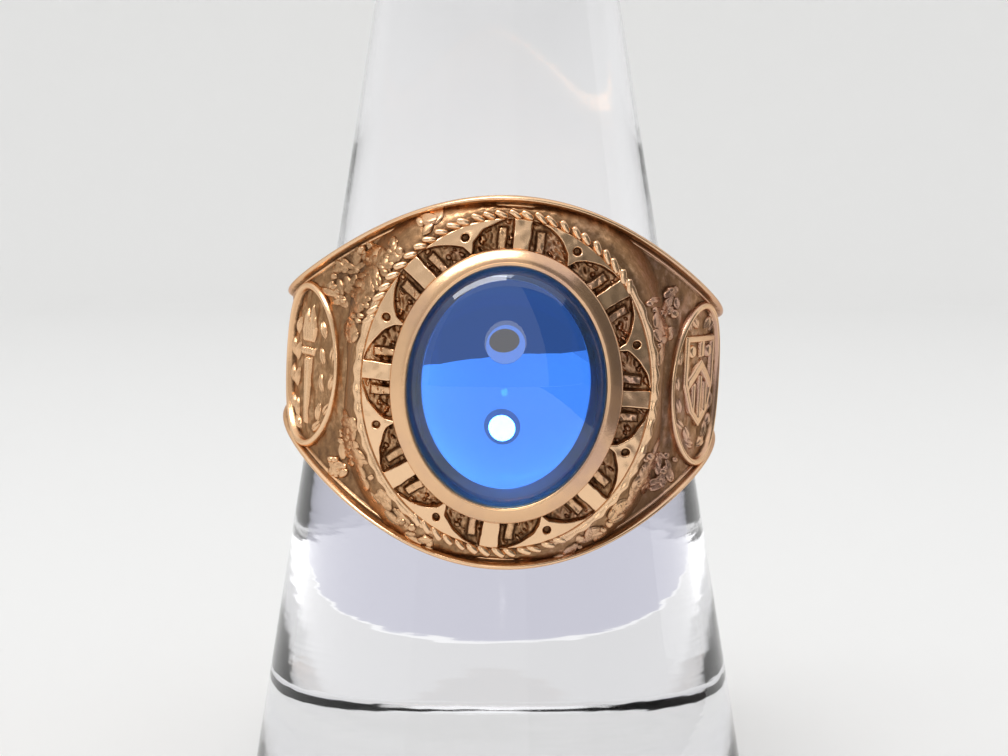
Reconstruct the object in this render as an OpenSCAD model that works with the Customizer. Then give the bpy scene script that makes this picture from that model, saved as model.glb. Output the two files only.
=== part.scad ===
// A class ring with an oval cabochon, standing on a clear ring cone.
// The ring is modelled about its own axis, with the head towards -Y, and is then set on the cone.

/* [Finger hole] */
// Inside diameter of the band
bore_d = 20.2; // [19:0.1:21.4]
// How far the hole keeps its diameter above and below the middle
bore_land = 3.1; // [2.6:0.1:3.4]
// How much the radius opens for each millimetre past that
bore_flare = 0.235; // [0.2:0.005:0.25]

/* [Band] */
// Width of the band at the back of the finger
back_w = 4.6; // [4:0.1:5.4]
// Thickness of the band at the back
back_t = 1.35; // [1.1:0.05:1.6]
// Thickness of the band under the side panels
side_t = 0.98; // [0.9:0.02:1.1]
// Thickness of the band under the head
head_t = 1.68; // [1.55:0.01:1.75]
// Width of the head along the finger
head_w = 17.8; // [17.4:0.1:18.6]
// How quickly the head narrows into the shoulders
head_taper = 4.7; // [4.3:0.1:5.1]
// Share of the head's extra width that the shoulders keep
shoulder_share = 0.24; // [0.22:0.01:0.28]
// Width of the polished wire along each edge of the band
rim_w = 0.26; // [0.22:0.01:0.3]
// Height of that wire above the ground behind it, at the head
rim_h = 0.5; // [0.4:0.01:0.56]

/* [Stone] */
// Length of the stone along the finger
stone_l = 12.0; // [11.6:0.1:12.2]
// Width of the stone across the finger
stone_w = 10.0; // [9.6:0.1:10.2]
// Height of the dome above the edge of the stone
dome_h = 2.2; // [1.8:0.1:2.8]
// Depth of the bevelled underside
pavilion_h = 0.7; // [0.5:0.05:0.8]
// Thickness of the edge between dome and underside
girdle_t = 0.25; // [0.15:0.05:0.35]
// Gap between the stone and its seat
stone_gap = 0.04; // [0.03:0.01:0.06]

/* [Bezel] */
// Height of the bezel's crown above the finger hole
bezel_top = 3.85; // [3.75:0.05:4]
// Width of the bezel outside the stone
bezel_w = 0.46; // [0.4:0.01:0.52]
// How far the bezel folds in over the stone
bezel_lip = 0.38; // [0.32:0.01:0.44]
// Drop from the bezel's crown to its inner edge
lip_drop = 0.26; // [0.2:0.01:0.3]

/* [Arcade] */
// Height of the arcade's inner edge above the finger hole
arcade_top = 2.9; // [2.8:0.05:3]
// Drop of the arcade from its inner to its outer edge
arcade_drop = 0.65; // [0.55:0.05:0.75]
// Width of the arcade between bezel and rope
arcade_w = 1.34; // [1.3:0.01:1.38]
// Height of the ground of the arches above the finger hole
arch_floor = 1.85; // [1.78:0.01:1.95]
// Number of arches round the stone
arches = 8; // [8:1:8]
// Turn of the whole arcade about the stone, seen from the front
arcade_turn = 3.3; // [0:0.1:5]
// Width of the web between two arches at the bezel
web_w = 0.24; // [0.2:0.01:0.3]
// Width of the middle post of each arch
post_w = 0.86; // [0.7:0.02:0.94]
// Width of the low post on each side of it
side_post_w = 0.42; // [0.34:0.01:0.46]
// Diameter of the drilled dot between two arches
dot_d = 0.34; // [0.26:0.01:0.42]
// Depth of that dot
dot_h = 0.3; // [0.2:0.01:0.4]

/* [Rope border] */
// Width of the rope
rope_w = 0.4; // [0.36:0.01:0.44]
// Number of turns of the rope round the head
rope_turns = 78; // [70:1:80]
// Slant of each turn
rope_slant = 34; // [25:1:40]

/* [Flanks] */
// How far the flanks of the head spread below the rope
flank_spread = 0.5; // [0.4:0.01:0.6]
// Height of the spreading part of the flanks
flank_h = 1.1; // [0.9:0.05:1.4]

/* [Side panels] */
// Angle from the middle of the head to the middle of each panel
panel_angle = 61; // [60:0.5:62]
// Height of each oval panel
panel_h = 8.4; // [8:0.1:8.7]
// Width of each oval panel round the finger
panel_w = 6.0; // [5.8:0.1:6.3]
// How far the panels lie below the middle of the band
panel_drop = 0.15; // [0:0.01:0.2]
// Width of the oval frame
frame_w = 0.46; // [0.4:0.01:0.52]
// Height of the frame above the band
frame_h = 0.34; // [0.26:0.01:0.4]
// Depth of the panel's ground below the band
ground_h = 0.14; // [0.1:0.01:0.18]
// Height of the raised work above that ground
relief_h = 0.34; // [0.26:0.01:0.4]

/* [Corner sprigs] */
// Length of a leaf
leaf_l = 1.15; // [0.95:0.05:1.25]
// Width of a leaf
leaf_w = 0.52; // [0.4:0.02:0.6]
// Height of a leaf above the band
leaf_h = 0.36; // [0.28:0.01:0.42]

/* [Display cone] */
// Diameter of the cone's foot
cone_d = 26; // [25:0.2:28]
// Height of the cone
cone_h = 64; // [58:1:68]
// Radius lost for each millimetre of height
cone_slope = 0.165; // [0.155:0.001:0.175]
// Width of the small bevel at the foot
foot_bevel = 0.4; // [0.2:0.1:0.8]
// Lean of the ring on the cone, seen from the front
ring_roll = 3; // [0:0.5:5]
// Gap between the ring and the cone where they meet
seat_gap = 0.1; // [0.06:0.01:0.2]

/* [Hidden] */

bore_r = bore_d / 2;
half_back = back_w / 2;
half_head = head_w / 2;
over = 1;              // how far a cut reaches past what it cuts
band_steps = 60;       // sections round the band
bore_steps = 60;       // facets of the finger hole
oval_steps = 48;       // points round an oval of the head
panel_steps = 28;      // points round a side panel
curve_steps = 60;      // facets of the curved top of the raised work
sunk = 0.3;            // how deep raised pieces reach into what carries them

// Shares of the bezel's width: how far the arcade and the arches run in under the bezel
arcade_tuck = 0.7;
arch_tuck = 0.4;
// Shares of the rope's width, out from the arcade: the rope's middle and the two edges of its ledge
rope_at = 0.53;
ledge_from = 0.22;
ledge_to = 1.12;
ledge_sink = 0.4;      // depth of that ledge below the arcade's edge, as a share of the rope's width
// Shares of the arcade's width: reach of the arches and of their low posts, and place of the dots
arch_reach = 1.03;
side_post_reach = 0.68;
dot_place = 0.64;
side_post_place = 1.15; // middle of a low post out from the middle post's side, in its own widths
side_post_rise = 0.55; // height of the low posts, as a share of the arches' depth at their crown
dot_level = 0.4;       // where the dots' mouths lie, as a share of the arcade's drop
lip_seat = 0.85;       // share of the bezel's lip at which the dome meets it
dome_fullness = 0.7;   // power below 1 that makes the dome fuller at its edge than a plain half oval

// Semi-axes [across, along] of the ovals of the head, from the stone outwards
girdle = [stone_w / 2, stone_l / 2];
bezel_out = grown(girdle, bezel_w);
arcade_in = grown(bezel_out, -bezel_w * arcade_tuck);
arcade_out = grown(bezel_out, arcade_w);
rope_mid = grown(arcade_out, rope_w * rope_at);
ledge_in = grown(arcade_out, rope_w * ledge_from);
ledge_out = grown(arcade_out, rope_w * ledge_to);

// Distances from the finger axis towards the front
bezel_y = bore_r + bezel_top;
lip_y = bezel_y - lip_drop;
arcade_in_y = bore_r + arcade_top;
arcade_out_y = arcade_in_y - arcade_drop;
ledge_y = arcade_out_y - rope_w * ledge_sink;
floor_y = bore_r + arch_floor;
girdle_y = lip_y - dome_rise(bezel_lip * lip_seat) * dome_h;

// Small helpers
function grown(oval, by) = [oval.x + by, oval.y + by];
function mix(a, b, t) = a + (b - a) * t;
function unit(v) = v / norm(v);

// A point of an oval, its outward normal, and the angle that spaces points evenly along it
function oval_at(oval, a) = [oval.x * sin(a), oval.y * cos(a)];
function oval_normal(oval, a) = unit([sin(a) / oval.x, cos(a) / oval.y]);
function even_angle(oval, a) = a + (oval.y - oval.x) / (oval.y + oval.x) / 2 * sin(2 * a) * 180 / PI;

// A row of ovals, each [semi-axes, distance in front of the finger axis, move along its normals],
// with every second oval turned by half a step, so that the faces between them are triangles
function oval_rings(rows) = [for (k = [0:len(rows) - 1]) let (oval = rows[k][0])
    [for (i = [0:oval_steps - 1])
        let (
            a = 360 * (i + k % 2 / 2) / oval_steps,
            p = oval_at(oval, a),
            n = oval_normal(oval, a) * rows[k][2])
        [p.x + n.x, -rows[k][1], p.y + n.y]]];

// The band: its half width, its thickness and the rise of its edge wires, at an angle from the head
function nearness(a) = (1 + cos(a)) / 2;
function half_width(a) = half_back + (half_head - half_back)
    * mix(pow(nearness(a), head_taper), nearness(a), shoulder_share);
function thickness(a) = side_t
    + (head_t - side_t) * pow(nearness(a), 6)
    + (back_t - side_t) * pow(1 - nearness(a), 2);
function rim_rise(a) = rim_h * pow(nearness(a), 0.8);
function band_r(a) = bore_r + thickness(a);
function on_band(a, r, z) = [r * sin(a), -r * cos(a), z];

// One section of the band. Each row: rim widths in from the edge, and share of the rim's rise
rim_section = [[0, 0.3], [0.25, 1], [1, 1], [1.3, 0]];
function band_section(a) = let (w = half_width(a), r = band_r(a), rise = rim_rise(a), n = len(rim_section))
    concat(
        [for (i = [0:n - 1]) let (s = rim_section[i]) on_band(a, r + rise * s[1], w - rim_w * s[0])],
        [for (i = [n - 1:-1:0]) let (s = rim_section[i]) on_band(a, r + rise * s[1], rim_w * s[0] - w)],
        [on_band(a, bore_r - over, -w), on_band(a, bore_r - over, w)]
    );

// The faces between two rings of a body, whose first corners are number a and number b of its points
function faces_between(a, b, m, odd) = [for (j = [0:m - 1]) let (l = (j + 1) % m)
    each odd
        ? [[a + j, a + l, b + l], [a + j, b + l, b + j]]
        : [[a + j, a + l, b + j], [b + j, a + l, b + l]]];

// A body through a closed row of rings, and one through a stack of them with flat ends
module closed_loft(rings) {
    n = len(rings);
    m = len(rings[0]);
    polyhedron(
        points = [for (r = rings) each r],
        faces = [for (i = [0:n - 1]) each faces_between(i * m, (i + 1) % n * m, m, i % 2 == 1)],
        convexity = 8
    );
}
module stacked_loft(rings) {
    n = len(rings);
    m = len(rings[0]);
    polyhedron(
        points = [for (r = rings) each r],
        faces = concat(
            [[for (j = [m - 1:-1:0]) j]],
            [for (i = [0:n - 2]) each faces_between(i * m, (i + 1) * m, m, i % 2 == 1)],
            [[for (j = [0:m - 1]) (n - 1) * m + j]]
        ),
        convexity = 8
    );
}

// Turns a flat drawing in X and Z into a prism between two distances from the finger axis
module prism(low, high) {
    translate([0, -low, 0]) rotate([90, 0, 0]) linear_extrude(high - low) children();
}

module band() {
    closed_loft([for (i = [band_steps - 1:-1:0]) band_section(360 * i / band_steps)]);
}

// The raised oval of the head: its flanks, the rope's ledge and the sloping arcade
// Each row: share of the spread to the sides, the same along the finger, and share of the flank's height
flank_rows = [[1.1, 0.3, 1], [1, 0.25, 0.9], [0.6, 0.15, 0.35], [0.25, 0, 0.1]];
function flank_oval(row) = [ledge_out.x + flank_spread * row[0], ledge_out.y + flank_spread * row[1]];
module platform() {
    stacked_loft(oval_rings(concat(
        [[flank_oval(flank_rows[0]), bore_r / 2, 0]],
        [for (row = flank_rows) [flank_oval(row), ledge_y - flank_h * row[2], 0]],
        [[ledge_out, ledge_y, 0], [ledge_in, ledge_y, 0]],
        [[arcade_out, arcade_out_y, 0], [arcade_in, arcade_in_y, 0]]
    )));
}

// Arches: a round-headed recess on the bezel's edge, with one tall and two low posts
arch_chord = PI * (bezel_out.x + bezel_out.y) / arches - web_w;
arch_h = arcade_w * arch_reach;
arch_r = (pow(arch_chord / 2, 2) + pow(arch_h, 2)) / (2 * arch_h);
module at_bay(turn) {
    a = even_angle(bezel_out, turn + arcade_turn);
    n = oval_normal(bezel_out, a);
    translate(oval_at(bezel_out, a)) rotate(atan2(n.y, n.x) - 90) children();
}
module arch_2d() {
    intersection() {
        translate([0, arch_h - arch_r]) circle(arch_r, $fn = 32);
        translate([-arch_chord / 2, -bezel_w * arch_tuck]) square([arch_chord, arch_h + over]);
    }
}
module post_2d(w, h, offset) {
    translate([offset - w / 2, -bezel_w]) square([w, h + bezel_w]);
}
module side_posts_2d() {
    for (side = [-1, 1])
        post_2d(side_post_w, arcade_w * side_post_reach,
            side * (post_w / 2 + side_post_w * side_post_place));
}
module arch_recesses() {
    low_post_y = mix(floor_y, arcade_out_y, side_post_rise);
    for (i = [0:arches - 1]) {
        prism(floor_y, bezel_y) at_bay(360 * i / arches) difference() {
            arch_2d();
            post_2d(post_w, arcade_w + over, 0);
            side_posts_2d();
        }
        prism(low_post_y, bezel_y) at_bay(360 * i / arches) intersection() {
            arch_2d();
            side_posts_2d();
        }
    }
}
module drilled_dots() {
    prism(mix(arcade_out_y, arcade_in_y, dot_level) - dot_h, bezel_y)
        for (i = [0:arches - 1]) at_bay(360 * (i + 0.5) / arches)
            translate([0, arcade_w * dot_place]) circle(d = dot_d, $fn = 6);
}

// The rope: one sweep whose slanted turns wear away on the left and right
// Each row: place across the rope, share of its height, and share of the groove's depth there
rope_section = [[1, -1, 0], [0.9, 0.2, 0.4], [0, 1, 1], [-0.9, 0.2, 0.4], [-1, -1, 0]];
rope_groove = 0.8;
function rope_wear(a) = pow(abs(cos(a)), 0.6);
function rope_point(turn, row, valley) = let (
    a = even_angle(rope_mid, turn), p = oval_at(rope_mid, a), n = oval_normal(rope_mid, a),
    across = row[0] * rope_w / 2, lean = across * tan(rope_slant), wear = rope_wear(a),
    high = row[1] - valley * row[2] * rope_groove * wear)
    [p.x + n.x * across + n.y * lean, -(ledge_y + high * rope_w / 2), p.y + n.y * across - n.x * lean];
module rope() {
    rings = 2 * rope_turns;
    closed_loft([for (i = [rings - 1:-1:0])
        [for (row = rope_section) rope_point(360 * i / rings, row, i % 2)]]);
}

// The bezel: a smooth collar whose rounded crown folds in over the stone
// Each row: share of its width, share of its lip, and share of the lip's drop
bezel_profile = [[1, 0, 1.6], [0.94, 0, 0.7], [0.7, 0, 0.18], [0.3, 0, 0], [0, 0.3, 0.22], [0, 1, 1]];
function bezel_x(row) = bezel_w * row[0] - bezel_lip * row[1];
module bezel() {
    foot = floor_y - sunk;
    closed_loft(oval_rings(concat(
        [[girdle, foot, bezel_w]],
        [for (row = bezel_profile) [girdle, bezel_y - lip_drop * row[2], bezel_x(row)]],
        [[girdle, foot, -bezel_lip]]
    )));
}

// The stone, or its seat when it is grown by the gap
// The dome's rings lie at these angles up its side
dome_angles = [0, 16, 32, 47, 60, 72, 83];
crown_share = 0.06;     // size of the dome's last ring, as a share of the stone
pavilion_spread = 1.4; // how far the underside narrows for its depth
function dome_share(a) = pow(cos(a), dome_fullness);
// How high the dome has risen at a distance in from its edge, as a share of its height
function dome_rise(in_from_edge) =
    sin(acos(pow(1 - in_from_edge / (stone_w / 2), 1 / dome_fullness)));
module stone_body(gap) {
    level = girdle_y + gap;
    low = girdle_y - girdle_t - gap;
    stacked_loft(oval_rings(concat(
        [[girdle, low - pavilion_h, gap - pavilion_h * pavilion_spread], [girdle, low, gap]],
        [for (a = dome_angles) [girdle * dome_share(a), level + dome_h * sin(a), gap]],
        [[girdle * crown_share, level + dome_h, 0]]
    )));
}

// A point of a side panel's oval: t turns round it and share scales it
function panel_point(side, share, t, r) =
    on_band(side * (panel_angle + share * cos(t) * panel_w / 2 / band_r(panel_angle) * 180 / PI),
        r, share * sin(t) * panel_h / 2 - panel_drop);
// Each row: share of the way from the frame's inner to its outer edge, and share of its height
frame_section = [[0, 0], [0.15, 0.75], [0.5, 1], [0.85, 0.75], [1, 0]];
frame_inner = 1 - 2 * frame_w / panel_h;
ground_reach = 0.3;    // how far the sunk ground runs in under the frame, as a share of its width
ground_hub = 0.08;     // size of the flat patch in the middle of the sunk ground, as a share of the panel
module panel_frame(side) {
    closed_loft([for (i = [0:panel_steps - 1]) [for (s = frame_section)
        panel_point(side, mix(frame_inner, 1, s[0]), -side * 360 * i / panel_steps,
            band_r(panel_angle) + mix(-sunk, frame_h, s[1]))]]);
}
module panel_ground(side) {
    edge = mix(frame_inner, 1, ground_reach);
    rows = [[ground_hub, -ground_h], [edge / 2, -ground_h], [edge, -ground_h], [edge, over]];
    stacked_loft([for (k = [0:len(rows) - 1]) [for (i = [0:panel_steps - 1])
        panel_point(side, rows[k][0], -side * 360 * (i + k % 2 / 2) / panel_steps,
            band_r(panel_angle) + rows[k][1])]]);
}

// Puts a flat drawing on a side panel as raised work: X runs round the finger, Y up
module relief(side) {
    ground_r = band_r(panel_angle) - ground_h;
    intersection() {
        rotate([0, 0, side * panel_angle]) rotate([90, 0, 0])
            translate([0, -panel_drop, bore_r * 0.6]) linear_extrude(bore_r) children();
        difference() {
            cylinder(r = ground_r + relief_h, h = panel_h, center = true, $fn = curve_steps);
            cylinder(r = ground_r - sunk, h = panel_h + over, center = true, $fn = curve_steps);
        }
    }
}
module leaf_2d(l, w) {
    polygon([[0, 0], [l * 0.3, w / 2], [l * 0.7, w * 0.4], [l, 0], [l * 0.7, -w * 0.4], [l * 0.3, -w / 2]]);
}
// Pairs of leaves that climb a bent stem beside the torch, and the leaves under the shield
// Each row: place across and up the panel as shares of its size, and turn of the leaf
sprig_leaves = [[0.1, -0.38, 35], [0.2, -0.32, 80], [0.27, -0.25, 50], [0.27, -0.13, 100],
    [0.36, -0.1, 70], [0.27, 0.04, 105], [0.38, 0.06, 85], [0.27, 0.2, 110]];
shield_leaves = [[0.09, -0.36, 25], [0.2, -0.27, 60], [0.3, -0.16, 85]];
module leaves_2d(rows) {
    for (row = rows) translate([panel_w * row[0], panel_h * row[1]]) rotate(row[2])
        leaf_2d(panel_h * 0.13, panel_h * 0.06);
}
// Left panel: a burning torch between two sprigs
module torch_2d() {
    scale([panel_w, panel_h]) {
        polygon([[-0.025, -0.38], [0.025, -0.38], [0.065, 0.05], [-0.065, 0.05]]);
        polygon([[-0.11, 0.05], [0.11, 0.05], [0.14, 0.11], [-0.14, 0.11]]);
        polygon([[-0.1, 0.13], [0.1, 0.13], [0.13, 0.22], [0.05, 0.38], [0.02, 0.27], [-0.05, 0.34],
            [-0.13, 0.21]]);
    }
    for (side = [0, 1]) mirror([side, 0]) leaves_2d(sprig_leaves);
}
// Right panel: a shield with a chevron between three discs, over leaves
module shield_2d() {
    scale([panel_w, panel_h]) {
        difference() {
            shield_outline_2d();
            scale(0.8) shield_outline_2d();
        }
        polygon([[-0.26, -0.06], [-0.26, 0.03], [0, 0.16], [0.26, 0.03], [0.26, -0.06], [0, 0.08]]);
    }
    for (p = [[-0.14, 0.19], [0.14, 0.19], [0, -0.09]])
        translate([p.x * panel_w, p.y * panel_h]) circle(panel_h * 0.045, $fn = 8);
    for (side = [0, 1]) mirror([side, 0]) leaves_2d(shield_leaves);
}
module shield_outline_2d() {
    polygon([[-0.3, 0.3], [0.3, 0.3], [0.3, 0], [0.18, -0.17], [0, -0.26], [-0.18, -0.17], [-0.3, 0]]);
}

// The sprigs that fill the four corners between rope, rim and side panel
// Each row: angle from the head, share of the band's half width, turn and size of a leaf
corner_leaves = [
    [23, 0.9, 12, 0.8], [28, 0.86, -22, 0.9], [32, 0.76, 40, 0.9], [34, 0.9, 10, 0.8],
    [37, 0.68, -30, 1], [40, 0.82, 35, 0.9], [42, 0.56, 75, 1], [44, 0.7, 5, 0.8], [46, 0.84, -20, 0.7]
];
module corner_leaf(a, share, turn, size) {
    l = leaf_l * size;
    w = leaf_w * size;
    rotate([0, 0, a]) translate([0, -band_r(a), share * half_width(a)])
        rotate([90, 0, 0]) rotate(turn) hull() {
            translate([-l / 2, 0, -sunk]) linear_extrude(sunk + leaf_h / 2) leaf_2d(l, w);
            translate([-l * 0.2, -w * 0.05, 0]) cube([l * 0.4, w * 0.1, leaf_h]);
        }
}
module corner_sprigs() {
    for (mx = [0, 1], mz = [0, 1]) mirror([mx, 0, 0]) mirror([0, 0, mz])
        for (row = corner_leaves) corner_leaf(row[0], row[1], row[2], row[3]);
}

module finger_hole() {
    top = half_head + over;
    flared = bore_r + bore_flare * (top - bore_land);
    rotate(180 / bore_steps) rotate_extrude($fn = bore_steps)
        polygon([[0, -top], [flared, -top], [bore_r, -bore_land],
            [bore_r, bore_land], [flared, top], [0, top]]);
}

module casting() {
    color("#c79263") difference() {
        union() {
            difference() {
                union() {
                    band();
                    platform();
                }
                arch_recesses();
                drilled_dots();
                for (side = [-1, 1]) panel_ground(side);
            }
            rope();
            bezel();
            corner_sprigs();
            for (side = [-1, 1]) panel_frame(side);
            relief(-1) torch_2d();
            relief(1) shield_2d();
        }
        stone_body(stone_gap);
        finger_hole();
    }
}

module stone() {
    color("#2f6fe6", 0.8) stone_body(0);
}

// The leaning ring meets the cone at the lower ends of its land, left and right
seat_x = sin(ring_roll) * (bore_land + cone_slope * bore_r);
seat_z = (cone_d / 2 + seat_gap - bore_r * cos(ring_roll)) / cone_slope + bore_land * cos(ring_roll);
module on_cone() {
    translate([seat_x, 0, seat_z]) rotate([0, ring_roll, 0]) children();
}

tip_r = cone_d / 2 - cone_slope * cone_h;
module display_cone() {
    color("#dfe3ea", 0.35) rotate_extrude($fn = 96) polygon(concat(
        [[0, 0], [cone_d / 2 - foot_bevel, 0], [cone_d / 2 - cone_slope * foot_bevel, foot_bevel]],
        [for (a = [10:16:90]) [tip_r * cos(a), cone_h - tip_r + tip_r * sin(a)]]
    ));
}

on_cone() casting();
on_cone() stone();
display_cone();
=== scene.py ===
"""Finished surfaces of a class ring with an oval blue cabochon, standing on a clear ring cone."""

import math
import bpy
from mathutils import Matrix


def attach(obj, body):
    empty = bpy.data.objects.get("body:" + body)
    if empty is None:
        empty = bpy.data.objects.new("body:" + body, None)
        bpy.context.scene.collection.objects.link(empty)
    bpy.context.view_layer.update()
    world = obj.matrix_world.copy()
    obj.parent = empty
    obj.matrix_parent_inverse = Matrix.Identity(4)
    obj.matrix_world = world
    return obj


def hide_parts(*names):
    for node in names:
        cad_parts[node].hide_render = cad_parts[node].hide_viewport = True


bl_info = {
    "name": "Class Ring",
    "version": (1, 0, 0),
    "blender": (4, 5, 0),
    "location": "View3D > Sidebar > Class Ring",
    "description": "Builds the finished surfaces of a class ring on its display cone",
    "category": "Add Mesh",
}

import bpy
import numpy as np
from mathutils import Vector

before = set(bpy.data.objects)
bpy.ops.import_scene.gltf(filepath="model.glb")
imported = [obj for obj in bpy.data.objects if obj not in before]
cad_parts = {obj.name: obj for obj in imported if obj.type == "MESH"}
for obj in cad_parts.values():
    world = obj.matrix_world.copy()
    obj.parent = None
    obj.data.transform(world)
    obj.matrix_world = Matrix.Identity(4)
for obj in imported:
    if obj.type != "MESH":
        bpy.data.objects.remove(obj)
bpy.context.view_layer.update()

MM = 0.001
BODY = "root"
TURN = 2 * math.pi
GOLD_SLOT, STONE_SLOT, CONE_SLOT = "gold", "blue_stone", "clear_acrylic"
STONE_IOR, ACRYLIC_IOR = 1.72, 1.49
PHOTO_W, PHOTO_H, SENSOR_W = 1008, 756, 36
WARM_WHITE = (1, 0.98, 0.95)


def length(name, description, millimetres):
    """A size, given in millimetres and held in metres."""
    return bpy.props.FloatProperty(
        name=name, description=description, default=millimetres * MM, unit="LENGTH", precision=5)


def number(name, description, default):
    """A plain number, such as a share or a power."""
    return bpy.props.FloatProperty(name=name, description=description, default=default, precision=4)


def angle(name, description, degrees):
    """An angle, given in degrees and held in radians."""
    return bpy.props.FloatProperty(
        name=name, description=description, default=math.radians(degrees), subtype="ANGLE")


def count(name, description, default):
    """A whole number of repeats."""
    return bpy.props.IntProperty(name=name, description=description, default=default, min=1)


def colour(name, description, red, green, blue):
    """A colour, as linear light."""
    return bpy.props.FloatVectorProperty(
        name=name, description=description, default=(red, green, blue), size=3, min=0, max=1,
        subtype="COLOR")


class RingSizes(bpy.types.PropertyGroup):
    """The sizes of the metal."""

    bore_d: length("Finger hole", "Inside diameter of the band", 20.2)
    bore_land: length("Land", "How far the hole keeps its diameter above and below the middle", 3.1)
    bore_flare: number("Flare", "How much the radius opens for each unit of length past the land", 0.235)
    second_h: length("Second wire height", "Height of the thin wire inside the rim wire, at the head", 0.14)
    back_w: length("Back width", "Width of the band at the back of the finger", 4.6)
    back_t: length("Back thickness", "Thickness of the band at the back", 1.35)
    side_t: length("Side thickness", "Thickness of the band under the side panels", 0.98)
    head_t: length("Head thickness", "Thickness of the band under the head", 1.68)
    head_w: length("Head width", "Width of the head along the finger", 17.8)
    head_taper: number("Head taper", "How quickly the head narrows into the shoulders", 4.7)
    shoulder_share: number("Shoulder share", "Share of the head's extra width that the shoulders keep", 0.24)
    rim_w: length("Rim wire width", "Width of the polished wire along each edge of the band", 0.26)
    rim_h: length("Rim wire height", "Height of that wire above the ground behind it, at the head", 0.5)
    bezel_top: length("Bezel height", "Height of the bezel's crown above the finger hole", 3.85)
    bezel_w: length("Bezel width", "Width of the bezel outside the stone", 0.46)
    bezel_lip: length("Bezel lip", "How far the bezel folds in over the stone", 0.38)
    lip_drop: length("Lip drop", "Drop from the bezel's crown to its inner edge", 0.26)
    arcade_top: length("Arcade height", "Height of the arcade's inner edge above the finger hole", 2.9)
    arcade_drop: length("Arcade drop", "Drop of the arcade from its inner to its outer edge", 0.65)
    arcade_w: length("Arcade width", "Width of the arcade between bezel and rope", 1.34)
    arch_floor: length("Arch ground", "Height of the ground of the arches above the finger hole", 1.85)
    arches: count("Arches", "Number of arches round the stone", 8)
    arcade_turn: angle("Arcade turn", "Turn of the whole arcade about the stone, seen from the front", 3.3)
    web_w: length("Web width", "Width of the web between two arches at the bezel", 0.24)
    post_w: length("Post width", "Width of the middle post of each arch", 0.86)
    side_post_w: length("Low post width", "Width of the low post on each side of it", 0.42)
    dot_d: length("Dot diameter", "Diameter of the drilled dot between two arches", 0.34)
    rope_w: length("Rope width", "Width of the rope border", 0.4)
    rope_turns: count("Rope beads", "Number of beads of the rope round the head", 78)
    flank_spread: length("Flank spread", "How far the flanks of the head spread below the rope", 0.5)
    corner_spread: length("Corner spread", "How much further the flanks spread in the four corners", 1.0)
    panel_angle: angle("Panel angle", "Angle from the middle of the head to the middle of each panel", 61)
    panel_h: length("Panel height", "Height of each oval side panel", 8.4)
    panel_w: length("Panel width", "Width of each oval side panel round the finger", 6.0)
    panel_drop: length("Panel drop", "How far the panels lie below the middle of the band", 0.15)
    frame_w: length("Panel frame width", "Width of the oval frame of a panel", 0.46)
    frame_h: length("Panel frame height", "Height of that frame above the band", 0.34)
    ground_h: length("Panel ground", "Depth of a panel's ground below the band", 0.14)
    relief_h: length("Relief height", "Height of the raised work above that ground", 0.34)


class StoneSizes(bpy.types.PropertyGroup):
    """The sizes of the stone."""

    stone_l: length("Stone length", "Length of the stone along the finger", 12.0)
    stone_w: length("Stone width", "Width of the stone across the finger", 10.0)
    dome_h: length("Dome height", "Height of the dome above the edge of the stone", 2.2)
    crown_r: length("Crown radius", "Radius of curvature of the dome's crown", 21)
    pavilion_h: length("Underside depth", "Depth of the bevelled underside", 0.7)
    pavilion_spread: number("Underside spread", "How far the underside narrows for its depth", 2.28)
    girdle_t: length("Edge thickness", "Thickness of the edge between dome and underside", 0.25)


class ConeSizes(bpy.types.PropertyGroup):
    """The sizes of the display cone, and how the ring sits on it."""

    cone_d: length("Cone foot", "Diameter of the cone's foot", 26)
    cone_h: length("Cone height", "Height of the cone", 64)
    cone_slope: number("Cone slope", "Radius lost for each unit of height", 0.165)
    foot_bevel: length("Foot bevel", "Width of the small bevel at the foot", 0.4)
    ring_roll: angle("Lean", "Lean of the ring on the cone, seen from the front", 3)
    seat_gap: length("Seat gap", "Gap between the ring and the cone where they meet", 0.1)


class RingColours(bpy.types.PropertyGroup):
    """The colours of the metal, stone, cone and studio."""

    gold: colour("Gold", "Polished metal", 0.8, 0.49, 0.275)
    rubbed: colour("Rubbed gold", "Metal where it is worn bright", 0.92, 0.615, 0.375)
    tarnish: colour("Tarnish", "Thin purple-pink film on the metal", 0.5, 0.31, 0.26)
    umber: colour("Umber", "Brown film on the grounds and in shallow recesses", 0.25, 0.132, 0.06)
    oxide: colour("Oxide", "Dark colour left in the recesses", 0.11, 0.052, 0.022)
    blue: colour("Stone blue", "Colour of light through the stone", 0.2, 0.49, 1.0)
    foil: colour("Foil", "Mirror behind the stone", 0.92, 0.95, 1.0)
    # Painted shade: this tint darkens the rim band of the stone.
    bevel: colour("Bevel", "Duller mirror behind the stone's bevel", 0.18, 0.22, 0.6)
    # Painted light: this tint brightens the lowest part of that rim band.
    lit_low_bevel: colour("Lower bevel", "The same mirror in the lowest part of the stone", 0.6, 0.8, 1.0)
    acrylic: colour("Acrylic", "Colour of light through the cone", 0.965, 0.965, 0.985)
    paper: colour("Backdrop", "Pale floor and backdrop", 0.87, 0.87, 0.86)


class CameraView(bpy.types.PropertyGroup):
    """Where the photograph was taken from."""

    lens: number("Lens", "Focal length in millimetres on a 36 mm wide frame", 74)
    distance: length("Distance", "Distance from the middle of the ring", 110)
    elevation: angle("Elevation", "How far the camera looks down", 5)
    side: angle("Side step", "How far the camera stands to the left", 0.8)
    ring_x: number("Ring axis across", "Where the ring's middle falls in a picture 1008 wide", 502.5)
    ring_y: number("Ring axis down", "Where the ring's middle falls in a picture 756 high", 361.8)


# Small helpers on whole arrays


def mix(a, b, t):
    """Goes from a to b as t goes from 0 to 1."""
    return a + (b - a) * t


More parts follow.
